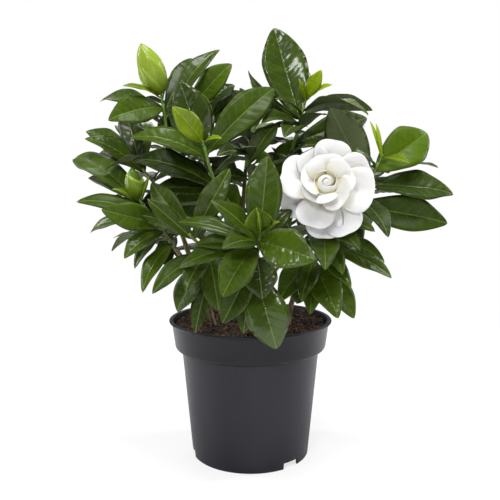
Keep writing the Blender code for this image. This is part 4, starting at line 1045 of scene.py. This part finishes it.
# for each whorl from the outside in
ROLL_BACK = (0.55, 0.42, 0.10)      # how far the tips roll back, as a share of the length
MARGIN_ROLL = (0.30, 0.28, 0.12)    # the same of the side margins, as a share of the width
RUFFLE = (0.020, 0.016, 0.006)
LAP = (0.05, 0.08, 0.16)            # one side lies over the next petal, the other under the last
CREAM_TIP = (0.0, 0.04, 0.10)       # how creamy a petal is, and how much more so at its foot, where the cream is deepened as painted shade
FOOT_CREAM_AND_SHADE = (0.45, 0.5, 0.85)
HEART_TURNS = 2.7
HEART_COLUMNS, HEART_ROWS = 150, 24
HEART_SHUT = (0.30, 0.46)   # shares of the spiral between which it closes to a bud
HEART_RADIUS = 9.8      # mm, as all that follow
HEART_HEIGHT = 13.0
HEART_THICK = 0.45
HEART_FOOT = 2.0        # how far the heart springs above the throat
CORE_RADIUS, CORE_HALF = 4.2, 5.0
CORE_HEIGHT = 9.4


def petal_half_width(blade, t):
    return 0.5 * blade.width * bulge(blade.widest, PETAL_FALL, t, PETAL_FOOT)


def petal_lift(blade, whorl, t, side, beat):
    """How far the petal's middle surface stands off its flat outline."""
    length = (blade.tip - blade.root).length
    lift = blade.arch * length * 4 * t * (1 - t)
    lift -= ROLL_BACK[whorl] * length * max(0.0, t - ROLL_FROM) ** 2
    lift += 0.5 * blade.width * blade.fold * side * side
    lift -= MARGIN_ROLL[whorl] * blade.width * max(0.0, abs(side) - ROLL_FROM) ** 2
    lift -= LAP[whorl] * blade.width * side
    lift += PETAL_SWAY * blade.width * side * sin(4 * t + beat) * t
    lift += RUFFLE[whorl] * blade.width * sin(4.5 * side + 2 * beat) * smooth_step(0.35, 0.9, t)
    lift -= PETAL_GROOVE * blade.width * exp(-(side / 0.2) ** 2) * sin(pi * t)
    return lift


def add_petal(bm, cream_and_painted_shade, blade, whorl, draw):
    """One petal: both faces wrapped from one grid, notched at the tip, cream towards the foot,
    deepened there as painted shade.
    """
    verts = bmesh.ops.create_grid(
        bm, x_segments=2 * PETAL_COLUMNS, y_segments=PETAL_ROWS, size=1.0)["verts"]
    chord = blade.tip - blade.root
    ahead = chord.normalized()
    beat = draw.uniform(0, tau)
    notch = draw.uniform(0.0, NOTCH_MOST)
    for vert in verts:
        above, s = wrapped(vert)
        t = 1.0 - (1.0 - (vert.co.y + 1.0) * 0.5) ** 1.7
        normal = blade.normal(t)
        half = petal_half_width(blade, t)
        side = s * half / (0.5 * blade.width)
        edge = sqrt(max(0.0, 1.0 - s ** 6)) * min(1.0, 14.0 * (1.0 - t) + 0.05)
        lift = petal_lift(blade, whorl, t, side, beat)
        lift += (0.5 if above else -0.5) * PETAL_THICK * MM * edge
        reach = t * (1.0 - notch * exp(-(side / 0.3) ** 2) * smooth_step(0.7, 1.0, t))
        vert.co = blade.root + chord * reach + ahead.cross(normal) * half * s + normal * lift
        # cream towards the foot: partly the bloom's own cream, partly painted shade deep in the bloom
        vert[cream_and_painted_shade] = CREAM_TIP[whorl] + FOOT_CREAM_AND_SHADE[whorl] * smooth_step(0.66, 0.2, t)
    bmesh.ops.remove_doubles(bm, verts=verts, dist=WELD)


def add_heart(bm, cream_and_painted_shade):
    """The bloom's furled middle: a low open turn round a closed, domed bud, in one spiral."""
    throat, axis, across, upward = bloom_frame()
    verts = bmesh.ops.create_grid(
        bm, x_segments=HEART_COLUMNS, y_segments=HEART_ROWS, size=1.0)["verts"]
    for vert in verts:
        share = (vert.co.x + 1.0) * 0.5
        v = (vert.co.y + 1.0) * 0.5
        angle = -0.2 - tau * HEART_TURNS * share
        shut = smooth_step(*HEART_SHUT, share)
        wide = HEART_RADIUS * (1.0 - share) ** 0.6 * (1.0 + 0.03 * sin(2.6 * angle))
        open_turn = 0.60 + 0.34 * smooth_step(0.0, 0.6, v)
        furl = 0.50 + 0.48 * smooth_step(0.55, 0.9, share)
        closed_turn = 0.80 + 0.20 * sin(pi * min(0.5, v)) - furl * smooth_step(0.55, 1.0, v) ** 1.5
        radius = wide * (open_turn + (closed_turn - open_turn) * shut)
        tall = HEART_HEIGHT * (0.70 + 0.20 * shut + 0.10 * share)
        height = HEART_FOOT + tall * v + 0.4 * sin(2 * angle) * v * (1.0 - shut)
        out = across * cos(angle) + upward * sin(angle)
        vert.co = throat + (out * radius + axis * height) * MM
        # creamier low in the heart: partly its own cream, partly painted shade deep in the throat
        vert[cream_and_painted_shade] = 0.12 + 0.88 * smooth_step(0.88, 0.60, v) - 0.10 * v * shut
    faces = list({face for vert in verts for face in vert.link_faces})
    bmesh.ops.recalc_face_normals(bm, faces=faces)
    bmesh.ops.solidify(bm, geom=faces, thickness=HEART_THICK * MM)
    core = bmesh.ops.create_uvsphere(bm, u_segments=32, v_segments=20, radius=1.0)["verts"]
    for vert in core:
        out = across * vert.co.x + upward * vert.co.y
        vert.co = throat + (out * CORE_RADIUS + axis * (CORE_HEIGHT + CORE_HALF * vert.co.z)) * MM
        vert[cream_and_painted_shade] = 0.2


def make_bloom(blades, finish, draw):
    """The petals on their tube, round the furled heart."""
    bm = bmesh.new()
    cream_and_painted_shade = bm.verts.layers.float.new("cream_and_painted_shade")
    for blade, petal in zip(blades, PETALS):
        whorl = petal[0]
        if whorl < len(ROLL_BACK):
            add_petal(bm, cream_and_painted_shade, blade, whorl, draw)
    throat, axis = bloom_frame()[:2]
    cup_top, ahead = calyx_frame()[3:]
    neck = [cup_top + ahead * GAP * MM, cup_top.lerp(throat, 0.5), throat, throat + axis * 2.5 * MM]
    neck_radii = (TUBE_RADIUS, TUBE_RADIUS, TUBE_RADIUS + 0.8, TUBE_RADIUS + 2.4)
    for vert in add_tube(bm, neck, neck_radii, 20):
        # the tube deep in the throat is cream with painted shade
        vert[cream_and_painted_shade] = 0.9
    bmesh.ops.recalc_face_normals(bm, faces=bm.faces[:])
    add_heart(bm, cream_and_painted_shade)
    return piece_from(bm, "bloom_petals", finish, ["bloom"])


def calyx_frame():
    """Foot, elbow and top of the bloom's stalk, the top of its cup, and the way that looks."""
    foot, straight = onward(shoot_route("shoot_bloom"))
    elbow = foot + straight * 0.5 * STALK_LENGTH * MM
    ahead = (bloom_frame()[0] - elbow).normalized()
    stalk_top = elbow + ahead * 0.5 * STALK_LENGTH * MM
    return foot, elbow, stalk_top, stalk_top + ahead * CALYX_LENGTH * MM, ahead


def make_calyx(finish, draw):
    """The bloom's own stalk, its green cup and the cup's narrow lobes."""
    foot, elbow, stalk_top, cup_top, ahead = calyx_frame()
    bm = bmesh.new()
    layers = leaf_layers(bm)
    stalk = add_tube(bm, [foot, elbow, stalk_top], (SHOOT_RADIUS, SHOOT_RADIUS, 1.5), 14)
    cup_route = [stalk_top, stalk_top.lerp(cup_top, 0.4), stalk_top.lerp(cup_top, 0.8), cup_top]
    cup = add_tube(bm, cup_route, (1.6, 2.4, 3.2, CALYX_RADIUS), 24)
    for vert in stalk + cup:
        mark(vert, layers, vein=0.5, across=5.0, tone=0.45, upper=1.0)
    side = ahead.orthogonal().normalized()
    for k in range(CALYX_LOBES):
        out = Matrix.Rotation(tau * k / CALYX_LOBES, 3, ahead) @ side
        root = cup_top + (out * (CALYX_RADIUS - 0.5) - ahead * 2.5) * MM
        tip = cup_top + (out * (CALYX_RADIUS + 1.6) + ahead * 6.5) * MM
        lobe = Blade(root, tip, LOBE_WIDTH, out, 0.0, fold=0.0, wave=0.0)
        add_leaf(bm, layers, lobe, 0.4, 0.3, draw)
    bmesh.ops.recalc_face_normals(bm, faces=bm.faces[:])
    return piece_from(bm, "calyx_cup", finish, ["calyx"])


# ---- pot and soil -----------------------------------------------------------

POT_TURNS = 160
SHARP_EDGE = 40.0       # degrees; the pot's softer edges are shaded round
SOIL_TURNS = 180
SOIL_RINGS = 64
SOIL_GRAINS = 2600
SOIL_CHIPS = 260
GRAIN_SIZES, CHIP_SIZES = (0.5, 1.5), (0.7, 1.4)    # mm
CHIP_SHAPE = ((1.6, 3.6), (0.35, 0.8), (0.25, 0.5))     # length, breadth and thickness by size
GRAIN_SHADES, CHIP_SHADES = (0.0, 1.0), (0.7, 1.6)
CHIPPED = 0.16          # how far a crumb's corners stand out of round, by size
SOIL_HEAP = 1.8         # mm that the loose peat is heaped above its pressed level
SOIL_LUMPS = 9.0        # mm from lump to lump, then of smaller ones and of single crumbs
SOIL_CLODS = 3.6
SOIL_CRUMBS = 1.5


def arc(centre, radius, start, stop, steps):
    """Points (radius, height) of a rounded corner, in degrees from outwards towards up."""
    turns = [radians(start + (stop - start) * k / steps) for k in range(steps + 1)]
    return [(centre[0] + radius * cos(turn), centre[1] + radius * sin(turn)) for turn in turns]


def pot_profile():
    """The wall's section, from the floor's middle up the inside, over the lip and down again."""
    inner_base = BASE_RADIUS - WALL
    floor_top = FLOOR_LIFT + FLOOR_THICK
    return [
        (0.0, floor_top),
        (inner_base - 0.8, floor_top),
        (inner_base + 0.2, floor_top + 1.0),
        (BODY_TOP_RADIUS - WALL, BODY_TOP + 1.2),
        (COLLAR_FOOT_RADIUS - WALL, COLLAR_FOOT + 1.8),
        (COLLAR_TOP_RADIUS - WALL, POT_HEIGHT - LIP_THICK),
        (COLLAR_TOP_RADIUS - 0.9, POT_HEIGHT - 0.7),
        *arc((COLLAR_TOP_RADIUS + 0.2, POT_HEIGHT - 0.6), 0.6, 130, 90, 3),
        *arc((LIP_RADIUS - 0.8, POT_HEIGHT - 0.8), 0.8, 90, -70, 7),
        (COLLAR_TOP_RADIUS + 1.5, POT_HEIGHT - 1.9),
        (COLLAR_TOP_RADIUS + 0.8, POT_HEIGHT - 2.8),
        *arc((COLLAR_FOOT_RADIUS - 3.4, COLLAR_FOOT + 3.4), 3.5, 0, -80, 7),
        (BODY_TOP_RADIUS + 0.9, COLLAR_FOOT - 0.3),
        (BODY_TOP_RADIUS + 0.75, COLLAR_FOOT - 0.75),
        (BODY_TOP_RADIUS + 0.15, COLLAR_FOOT - 1.1),
        (BODY_TOP_RADIUS, BODY_TOP - 0.6),
        *arc((BASE_RADIUS - 0.4, 0.4), 0.4, 0, -90, 3),
        (inner_base, 0.0),
        (inner_base + 0.2, FLOOR_LIFT),
        (0.0, FLOOR_LIFT),
    ]


def turned(bm, profile, steps):
    """The profile (radius, height), in mm, spun round Z."""
    verts = [bm.verts.new((radius * MM, 0.0, height * MM)) for radius, height in profile]
    edges = [bm.edges.new(pair) for pair in zip(verts, verts[1:])]
    bmesh.ops.spin(bm, geom=verts + edges, cent=(0, 0, 0), axis=(0, 0, 1), angle=tau,
                   steps=steps, use_merge=True)
    bmesh.ops.remove_doubles(bm, verts=bm.verts[:], dist=2 * WELD)
    bmesh.ops.recalc_face_normals(bm, faces=bm.faces[:])


def pot_cutters():
    """The notches in the bottom edge and the drain holes in the floor."""
    bm = bmesh.new()
    for turn in NOTCH_TURNS:
        place = Matrix.Translation(heading(turn) * (BASE_RADIUS - WALL / 2) * MM)
        size = Matrix.Diagonal((NOTCH_WIDTH * MM, 12 * MM, 2 * NOTCH_HEIGHT * MM, 1.0))
        swing = Matrix.Rotation(radians(turn), 4, "Z")
        bmesh.ops.create_cube(bm, size=1.0, matrix=place @ swing @ size)
    for index in range(DRAIN_HOLES):
        turn = tau * (index + 0.13) / DRAIN_HOLES
        spot = (DRAIN_RING * MM * sin(turn), DRAIN_RING * MM * cos(turn), FLOOR_LIFT * MM)
        place = Matrix.Translation(spot)
        bmesh.ops.create_cone(bm, cap_ends=True, segments=24, radius1=DRAIN_RADIUS * MM,
                              radius2=DRAIN_RADIUS * MM, depth=20 * MM, matrix=place)
    return plain_object(bm, "pot_cutters")


def make_pot(finish):
    """The turned pot with its notches and drain holes cut."""
    bm = bmesh.new()
    turned(bm, pot_profile(), POT_TURNS)
    body, cutters = plain_object(bm, "pot_body"), pot_cutters()
    trim = body.modifiers.new("cut", "BOOLEAN")
    trim.operation = "DIFFERENCE"
    trim.object = cutters
    bpy.context.view_layer.update()
    cut = bpy.data.meshes.new_from_object(body.evaluated_get(bpy.context.evaluated_depsgraph_get()))
    for spare in (body, cutters):
        bpy.data.objects.remove(spare, do_unlink=True)
    bm = bmesh.new()
    bm.from_mesh(cut)
    piece = piece_from(bm, "pot_shell", finish, ["pot"])
    piece.data.set_sharp_from_angle(angle=radians(SHARP_EDGE))
    return piece


def soil_height(x, y):
    """Height of the peat's lumpy top, in mm, at a place in mm."""
    spot = Vector((x, y, 0.0))
    lumps = 1.2 * noise.noise(spot / SOIL_LUMPS)
    lumps = lumps + 0.9 * noise.noise(spot / SOIL_CLODS + Vector((7, 3, 0)))
    crumbs = 0.5 * noise.noise(spot / SOIL_CRUMBS + Vector((1, 9, 4)))
    dished = 0.8 * (spot.length / 60.0) ** 4
    return SOIL_TOP + SOIL_HEAP - 0.4 + lumps + crumbs + dished


def make_soil(finish):
    """The peat to the pot's inner wall, with a lumpy top that the stems stand in."""
    inner_base = BASE_RADIUS - WALL - GAP
    bottom = FLOOR_LIFT + FLOOR_THICK + GAP
    rim = COLLAR_TOP_RADIUS - WALL - GAP - 0.35
    profile = [(rim * k / SOIL_RINGS, SOIL_TOP + SOIL_HEAP) for k in range(SOIL_RINGS + 1)]
    profile += [
        (COLLAR_FOOT_RADIUS - WALL - GAP, COLLAR_FOOT + 2.2),
        (BODY_TOP_RADIUS - WALL - GAP - 0.2, BODY_TOP + 1.6),
        (inner_base, bottom),
        (0.0, bottom),
    ]
    bm = bmesh.new()
    turned(bm, profile, SOIL_TURNS)
    for vert in bm.verts:
        radius = vert.co.xy.length / MM
        if vert.co.z > (SOIL_TOP - 0.5) * MM and radius < rim - 0.2:
            vert.co.z = soil_height(vert.co.x / MM, vert.co.y / MM) * MM
    return piece_from(bm, "soil_body", finish, ["soil"])


def make_grains(finish, draw):
    """Loose crumbs of peat, and lighter bark chips and fibres among them."""
    bm = bmesh.new()
    grain = bm.verts.layers.float.new("grain")
    rim = COLLAR_TOP_RADIUS - WALL - GAP - 2.0
    for index in range(SOIL_GRAINS + SOIL_CHIPS):
        chip = index >= SOIL_GRAINS
        angle, reach = draw.uniform(0, tau), rim * sqrt(draw.random())
        x, y = reach * cos(angle), reach * sin(angle)
        size = draw.uniform(*(CHIP_SIZES if chip else GRAIN_SIZES))
        stretch = (1.0, draw.uniform(0.6, 1.0), draw.uniform(0.5, 0.9))
        if chip:
            stretch = [draw.uniform(*limits) for limits in CHIP_SHAPE]
        place = Matrix.Translation(Vector((x, y, soil_height(x, y) + 0.25 * size)) * MM)
        turn = Matrix.Rotation(draw.uniform(0, tau), 4, "Z")
        turn = turn @ Matrix.Rotation(draw.uniform(-0.5, 0.5), 4, "Y")
        shape = Matrix.Diagonal((*[value * size * MM for value in stretch], 1.0))
        made = bmesh.ops.create_icosphere(bm, subdivisions=1, radius=1.0, matrix=place @ turn @ shape)
        shade = draw.uniform(*(CHIP_SHADES if chip else GRAIN_SHADES))
        for vert in made["verts"]:
            vert.co += Vector([draw.uniform(-CHIPPED, CHIPPED) * size * MM for _ in range(3)])
            vert[grain] = shade
    return piece_from(bm, "soil_grains", finish, ["soil"])


# ---- finishes ---------------------------------------------------------------

class Socket:
    """A shader socket that takes part in sums, so that shader maths reads as Python."""

    def __init__(self, finish, socket):
        self.finish, self.socket = finish, socket

    def sum(self, operation, first, second):
        return self.finish.node("ShaderNodeMath", {"operation": operation}, {0: first, 1: second})

    def __add__(self, other):
        return self.sum("ADD", self, other)

    def __sub__(self, other):
        return self.sum("SUBTRACT", self, other)

    def __rsub__(self, other):
        return self.sum("SUBTRACT", other, self)

    def __mul__(self, other):
        return self.sum("MULTIPLY", self, other)

    def __abs__(self):
        return self.sum("ABSOLUTE", self, 0.0)

    __radd__ = __add__
    __rmul__ = __mul__


class Finish:
    """One material and the nodes that it is made of. Lengths are in metres."""

    def __init__(self, name, **constants):
        self.material = bpy.data.materials.new(name)
        self.material.use_nodes = True
        self.tree = self.material.node_tree
        self.shader = self.tree.nodes["Principled BSDF"]
        for key, value in constants.items():
            self.shader.inputs[key.replace("_", " ")].default_value = value
        self.place = self.node("ShaderNodeTexCoord", output="Object")

    def node(self, kind, settings=None, inputs=None, output=0):
        made = self.tree.nodes.new(kind)
        for key, value in (settings or {}).items():
            setattr(made, key, value)
        for key, value in (inputs or {}).items():
            if isinstance(value, Socket):
                self.tree.links.new(value.socket, made.inputs[key])
            else:
                made.inputs[key].default_value = value
        return Socket(self, made.outputs[output])

    def feed(self, name, value):
        self.tree.links.new(value.socket, self.shader.inputs[name])

    def level(self):
        """Height above the ground."""
        return self.node("ShaderNodeSeparateXYZ", inputs={0: self.place}, output="Z")

    def attribute(self, name):
        return self.node("ShaderNodeAttribute", {"attribute_name": name}, output="Fac")

    def noise(self, scale, detail=3.0, rough=0.5, stretch=(1.0, 1.0, 1.0)):
        spot = self.node("ShaderNodeMapping", inputs={"Vector": self.place, "Scale": stretch})
        inputs = {"Vector": spot, "Scale": scale, "Detail": detail, "Roughness": rough}
        return self.node("ShaderNodeTexNoise", inputs=inputs)

    def between(self, value, low, high, start=0.0, stop=1.0):
        inputs = {"Value": value, "From Min": low, "From Max": high, "To Min": start, "To Max": stop}
        return self.node("ShaderNodeMapRange", {"interpolation_type": "SMOOTHSTEP"}, inputs)

    def mix(self, factor, first, second):
        """From the first colour to the second; 6, 7 and 2 are the node's colour sockets."""
        settings = {"data_type": "RGBA", "blend_type": "MIX", "clamp_factor": True}
        return self.node("ShaderNodeMix", settings, {0: factor, 6: first, 7: second}, output=2)

    def done(self, base, rough, height, strength, distance):
        """The material, with its colour, roughness and relief in place."""
        self.feed("Base Color", base)
        self.feed("Roughness", rough)
        relief = {"Height": height, "Strength": strength, "Distance": distance}
        self.feed("Normal", self.node("ShaderNodeBump", inputs=relief))
        return self.material


def colour(red, green, blue):
    """An sRGB colour out of 255 as a linear one."""
    def linear(value):
        share = value / 255.0
        return share / 12.92 if share <= 0.04045 else ((share + 0.055) / 1.055) ** 2.4
    return (linear(red), linear(green), linear(blue), 1.0)


# red, green and blue out of 255 of old and of fresh leaves, of their undersides and ribs, and
# the roughness above
LEAF_LOOKS = {
    "leaf": ((23, 33, 8), (68, 92, 4), (72, 80, 52), (110, 126, 60), 0.43),
    "young_leaf": ((46, 66, 3), (124, 148, 12), (100, 120, 34), (146, 162, 56), 0.48),
    "furled_green": ((66, 92, 12), (122, 142, 40), (100, 120, 34), (150, 166, 80), 0.48),
}
ROUGH_BELOW = 0.62
BLACK = (0.0, 0.0, 0.0, 1.0)
WHITE = (1.0, 1.0, 1.0, 1.0)


def leaf_finish(name):
    """Waxy green with paler ribs and margin, duller underneath; a coat gives the gloss."""
    finish = Finish(name, Specular_IOR_Level=0.1, Coat_Roughness=0.15)
    *shades, rough_above = LEAF_LOOKS[name]
    old, fresh, below, rib_colour = [colour(*shade) for shade in shades]
    across, vein = finish.attribute("across"), finish.attribute("vein")
    tone, upper = finish.attribute("tone"), finish.attribute("upper")
    margin, shine = finish.attribute("margin"), finish.attribute("shine")
    rim_line = finish.between(margin, 0.93, 0.99)
    patches = finish.between(finish.noise(70.0, 4.0), 0.3, 0.7)
    speckle = finish.noise(900.0, 2.0)
    near_vein = finish.node("ShaderNodeMath", {"operation": "PINGPONG"}, {0: vein, 1: 0.5})
    vein_line = 1.0 - finish.between(near_vein, 0.0, 0.07)
    vein_line = vein_line * (1.0 - finish.between(margin, 0.7, 0.9))
    rib_line = 1.0 - finish.between(abs(across), 0.16, 0.52)
    face = finish.mix(tone + (patches - 0.5) * 0.18, old, fresh)
    face = finish.mix(vein_line * 0.15, face, rib_colour)
    face = finish.mix(finish.between(speckle, 0.35, 0.75) * 0.12, face, BLACK)
    back = finish.mix(vein_line * 0.12, below, rib_colour)
    both = finish.mix(rim_line * 0.35, finish.mix(upper, back, face), rib_colour)
    base = finish.mix(rib_line * 0.40, both, rib_colour)
    mottle = finish.noise(260.0, 3.0)
    rough = finish.between(upper, 0.0, 1.0, ROUGH_BELOW, rough_above) + (mottle - 0.5) * 0.12
    finish.feed("Coat Weight", shine * upper * 0.5)
    height = finish.noise(1400.0, 2.0) * 0.15 - vein_line * 0.35 * upper
    height = height + vein_line * (1.0 - upper) * 0.4
    return finish.done(base, rough, height, 0.4, 0.0004)


def bark_finish():
    """Grey-brown, mossy in places, and greener towards the shoots."""
    finish = Finish("bark", Specular_IOR_Level=0.3)
    grain = finish.noise(420.0, 5.0, 0.6, (1.0, 1.0, 0.22))
    base = finish.mix(finish.between(grain, 0.3, 0.7), colour(70, 52, 38), colour(132, 112, 84))
    base = finish.mix(finish.between(finish.noise(120.0), 0.5, 0.75) * 0.5, base, colour(96, 104, 58))
    base = finish.mix(finish.between(finish.level(), 0.125, 0.20) * 0.7, base, colour(74, 84, 36))
    return finish.done(base, finish.between(grain, 0.2, 0.8, 0.9, 0.65), grain, 0.6, 0.0006)


def twig_finish():
    """Brownish green low down and fresh green higher up."""
    finish = Finish("green_twig", Specular_IOR_Level=0.4)
    grain = finish.noise(500.0, 4.0, 0.6, (1.0, 1.0, 0.25))
    youth = finish.between(finish.level(), 0.14, 0.27)
    base = finish.mix(youth, colour(92, 92, 48), colour(98, 132, 44))
    base = finish.mix(finish.between(grain, 0.35, 0.7) * 0.5, base, colour(66, 88, 30))
    return finish.done(base, finish.between(grain, 0.2, 0.8, 0.6, 0.42), grain, 0.35, 0.0004)


def petal_finish():
    finish = Finish("white_petal", Specular_IOR_Level=0.2, Subsurface_Weight=0.3,
                    Subsurface_Scale=0.0015, Subsurface_Radius=(1.0, 0.9, 0.75))
    cream_and_painted_shade = finish.attribute("cream_and_painted_shade")
    cloud = finish.noise(130.0, 3.0)
    # the cream colour is partly the petals' own, partly painted shade at the feet of the inner petals
    # and the heart
    base = finish.mix(cream_and_painted_shade + (cloud - 0.5) * 0.10, colour(203, 203, 204), colour(200, 192, 148))
    fine = finish.noise(1100.0, 3.0)
    height = fine * 0.4 + finish.noise(160.0, 2.0)
    return finish.done(base, finish.between(fine, 0.2, 0.8, 0.62, 0.48), height, 0.25, 0.0008)


def plastic_finish():
    """Charcoal with a little dust, and painted shade that darkens the collar."""
    finish = Finish("charcoal_plastic", Specular_IOR_Level=0.2)
    cloud = finish.noise(22.0, 3.0, 0.5, (1.0, 1.0, 0.35))
    dust = finish.between(finish.noise(340.0, 4.0), 0.62, 0.85)
    base = finish.mix(finish.between(cloud, 0.3, 0.7), colour(25, 25, 31), colour(31, 31, 38))
    # painted shade: the collar band is made darker than the body by its height, not by its own colour
    painted_collar_shade = finish.between(finish.level(), 0.085, 0.089)
    base = finish.mix(painted_collar_shade * 0.8, base, colour(9, 9, 15))
    base = finish.mix(dust * 0.12, base, colour(110, 108, 108))
    rough = finish.between(cloud, 0.2, 0.8, 0.40, 0.50) + dust * 0.15
    height = finish.noise(1500.0, 2.0) + finish.noise(60.0, 2.0) * 0.6
    return finish.done(base, rough, height, 0.12, 0.0003)


def peat_finish():
    finish = Finish("peat", Specular_IOR_Level=0.25)
    grain = finish.noise(700.0, 6.0, 0.65)
    base = finish.mix(finish.between(grain, 0.3, 0.72), colour(23, 18, 14), colour(74, 55, 41))
    return finish.done(base, finish.between(grain, 0.2, 0.8, 0.98, 0.8), grain, 0.9, 0.0012)


def grain_finish():
    """Dark crumbs, and lighter chips where the shade is over 1."""
    finish = Finish("peat_grain", Specular_IOR_Level=0.3)
    shade = finish.attribute("grain")
    fleck = finish.noise(900.0, 4.0)
    base = finish.mix(finish.between(shade, 0.0, 1.0), colour(27, 21, 17), colour(92, 68, 49))
    base = finish.mix(finish.between(shade, 1.0, 1.6), base, colour(150, 114, 82))
    base = finish.mix(finish.between(fleck, 0.45, 0.8) * 0.5, base, colour(20, 14, 10))
    return finish.done(base, finish.between(fleck, 0.2, 0.8, 0.95, 0.7), fleck, 0.6, 0.0005)


def floor_finish():
    """White paper that melts into the pale surroundings away from the pot."""
    finish = Finish("studio_floor", Specular_IOR_Level=0.2, Roughness=0.9)
    finish.shader.inputs["Base Color"].default_value = (0.93, 0.93, 0.93, 1.0)
    glow = finish.node("ShaderNodeEmission", inputs={"Color": WHITE, "Strength": 1.0})
    reach = finish.node("ShaderNodeVectorMath", {"operation": "LENGTH"}, {0: finish.place}, "Value")
    far = finish.between(reach, 0.0, 0.7, 0.72, 1.0)
    seen = finish.node("ShaderNodeLightPath", output="Is Camera Ray")
    paper = Socket(finish, finish.shader.outputs[0])
    blend = finish.node("ShaderNodeMixShader", inputs={0: far * seen, 1: paper, 2: glow})
    finish.tree.links.new(blend.socket, finish.tree.nodes["Material Output"].inputs["Surface"])
    return finish.material


# ---- studio -----------------------------------------------------------------

CAMERA_PLACE = (0.0, -0.520, 0.227)
CAMERA_PITCH = 6.8      # degrees below level
CAMERA_SHIFT = -0.0008  # sideways, as a share of the render's width
FOCAL_SHARE = 1.314     # focal length, also as a share of the width
SENSOR = 36.0           # mm
AIM = (0.0, 0.0, 0.2)   # where every softbox looks
FLOOR_RADIUS = 1.2
SURROUNDINGS = 0.12     # light from all round, which the camera sees as white all the same
# place and size in metres, power in watts
SOFTBOXES = {
    "top_box": ((0.1, -0.25, 1.2), (0.5, 0.5), 15.0),
    "front_box": ((-0.35, -1.2, 0.9), (0.36, 0.3), 9.8),
    "left_box": ((-0.95, 0.25, 0.5), (0.2, 0.9), 9.0),
    "right_box": ((0.95, 0.25, 0.5), (0.2, 0.9), 9.0),
    "fill_box": ((0.3, -1.4, 0.2), (0.7, 0.4), 4.0),
    "back_box": ((0.0, 1.0, 0.9), (0.9, 0.5), 5.5),
}


def make_camera():
    data = bpy.data.cameras.new("camera")
    data.sensor_width = SENSOR
    data.lens = FOCAL_SHARE * SENSOR
    data.shift_x = CAMERA_SHIFT
    data.clip_start = 0.01
    camera = bpy.data.objects.new("camera", data)
    camera.location = CAMERA_PLACE
    camera.rotation_euler = (radians(90.0 - CAMERA_PITCH), 0.0, 0.0)
    bpy.context.scene.collection.objects.link(camera)
    bpy.context.scene.camera = camera


def make_softbox(name, place, size, power):
    data = bpy.data.lights.new(name, "AREA")
    data.shape = "RECTANGLE"
    data.size, data.size_y = size
    data.energy = power
    box = bpy.data.objects.new(name, data)
    box.location = place
    box.rotation_euler = (Vector(AIM) - Vector(place)).to_track_quat("-Z", "Y").to_euler()
    bpy.context.scene.collection.objects.link(box)


def make_studio():
    scene = bpy.context.scene
    world = bpy.data.worlds.new("studio")
    scene.world = world
    world.use_nodes = True
    tree = world.node_tree
    sky = tree.nodes["Background"]
    sky.inputs["Color"].default_value = WHITE
    seen = tree.nodes.new("ShaderNodeLightPath")
    level = tree.nodes.new("ShaderNodeMapRange")
    level.inputs["To Min"].default_value = SURROUNDINGS
    level.inputs["To Max"].default_value = 1.0
    tree.links.new(seen.outputs["Is Camera Ray"], level.inputs["Value"])
    tree.links.new(level.outputs["Result"], sky.inputs["Strength"])
    for name, box in SOFTBOXES.items():
        make_softbox(name, *box)
    bm = bmesh.new()
    bmesh.ops.create_circle(bm, cap_ends=True, segments=96, radius=FLOOR_RADIUS)
    floor = plain_object(bm, "studio_floor")
    floor.data.materials.append(floor_finish())
    scene.view_settings.view_transform = "Standard"
    make_camera()


# ---- the whole object -------------------------------------------------------

def main():
    make_studio()
    make_pot(plastic_finish())
    make_soil(peat_finish())
    draw = random.Random(DETAIL_SEED)
    make_grains(grain_finish(), draw)
    leaf, young, furled = [leaf_finish(name) for name in LEAF_LOOKS]
    bark, twig = bark_finish(), twig_finish()
    blades = plan_growth()
    for plant in PLANTS:
        make_woody_stem(plant, bark, draw)
    for name in SHOOTS:
        route = shoot_route(name)
        make_twig(name, route, SHOOT_RADIUS, twig)
        make_leaves(name, blades[name], route[-1], leaf, draw)
    for name in TIPS:
        route = stalk_route(name)
        make_twig(name, route, STALK_RADIUS, twig)
        make_leaves(name, blades[name], route[-1], young, draw)
        if TIPS[name][1]:
            make_bud(name, furled)
    make_calyx(young, draw)
    make_bloom(blades["bloom"], petal_finish(), draw)


main()
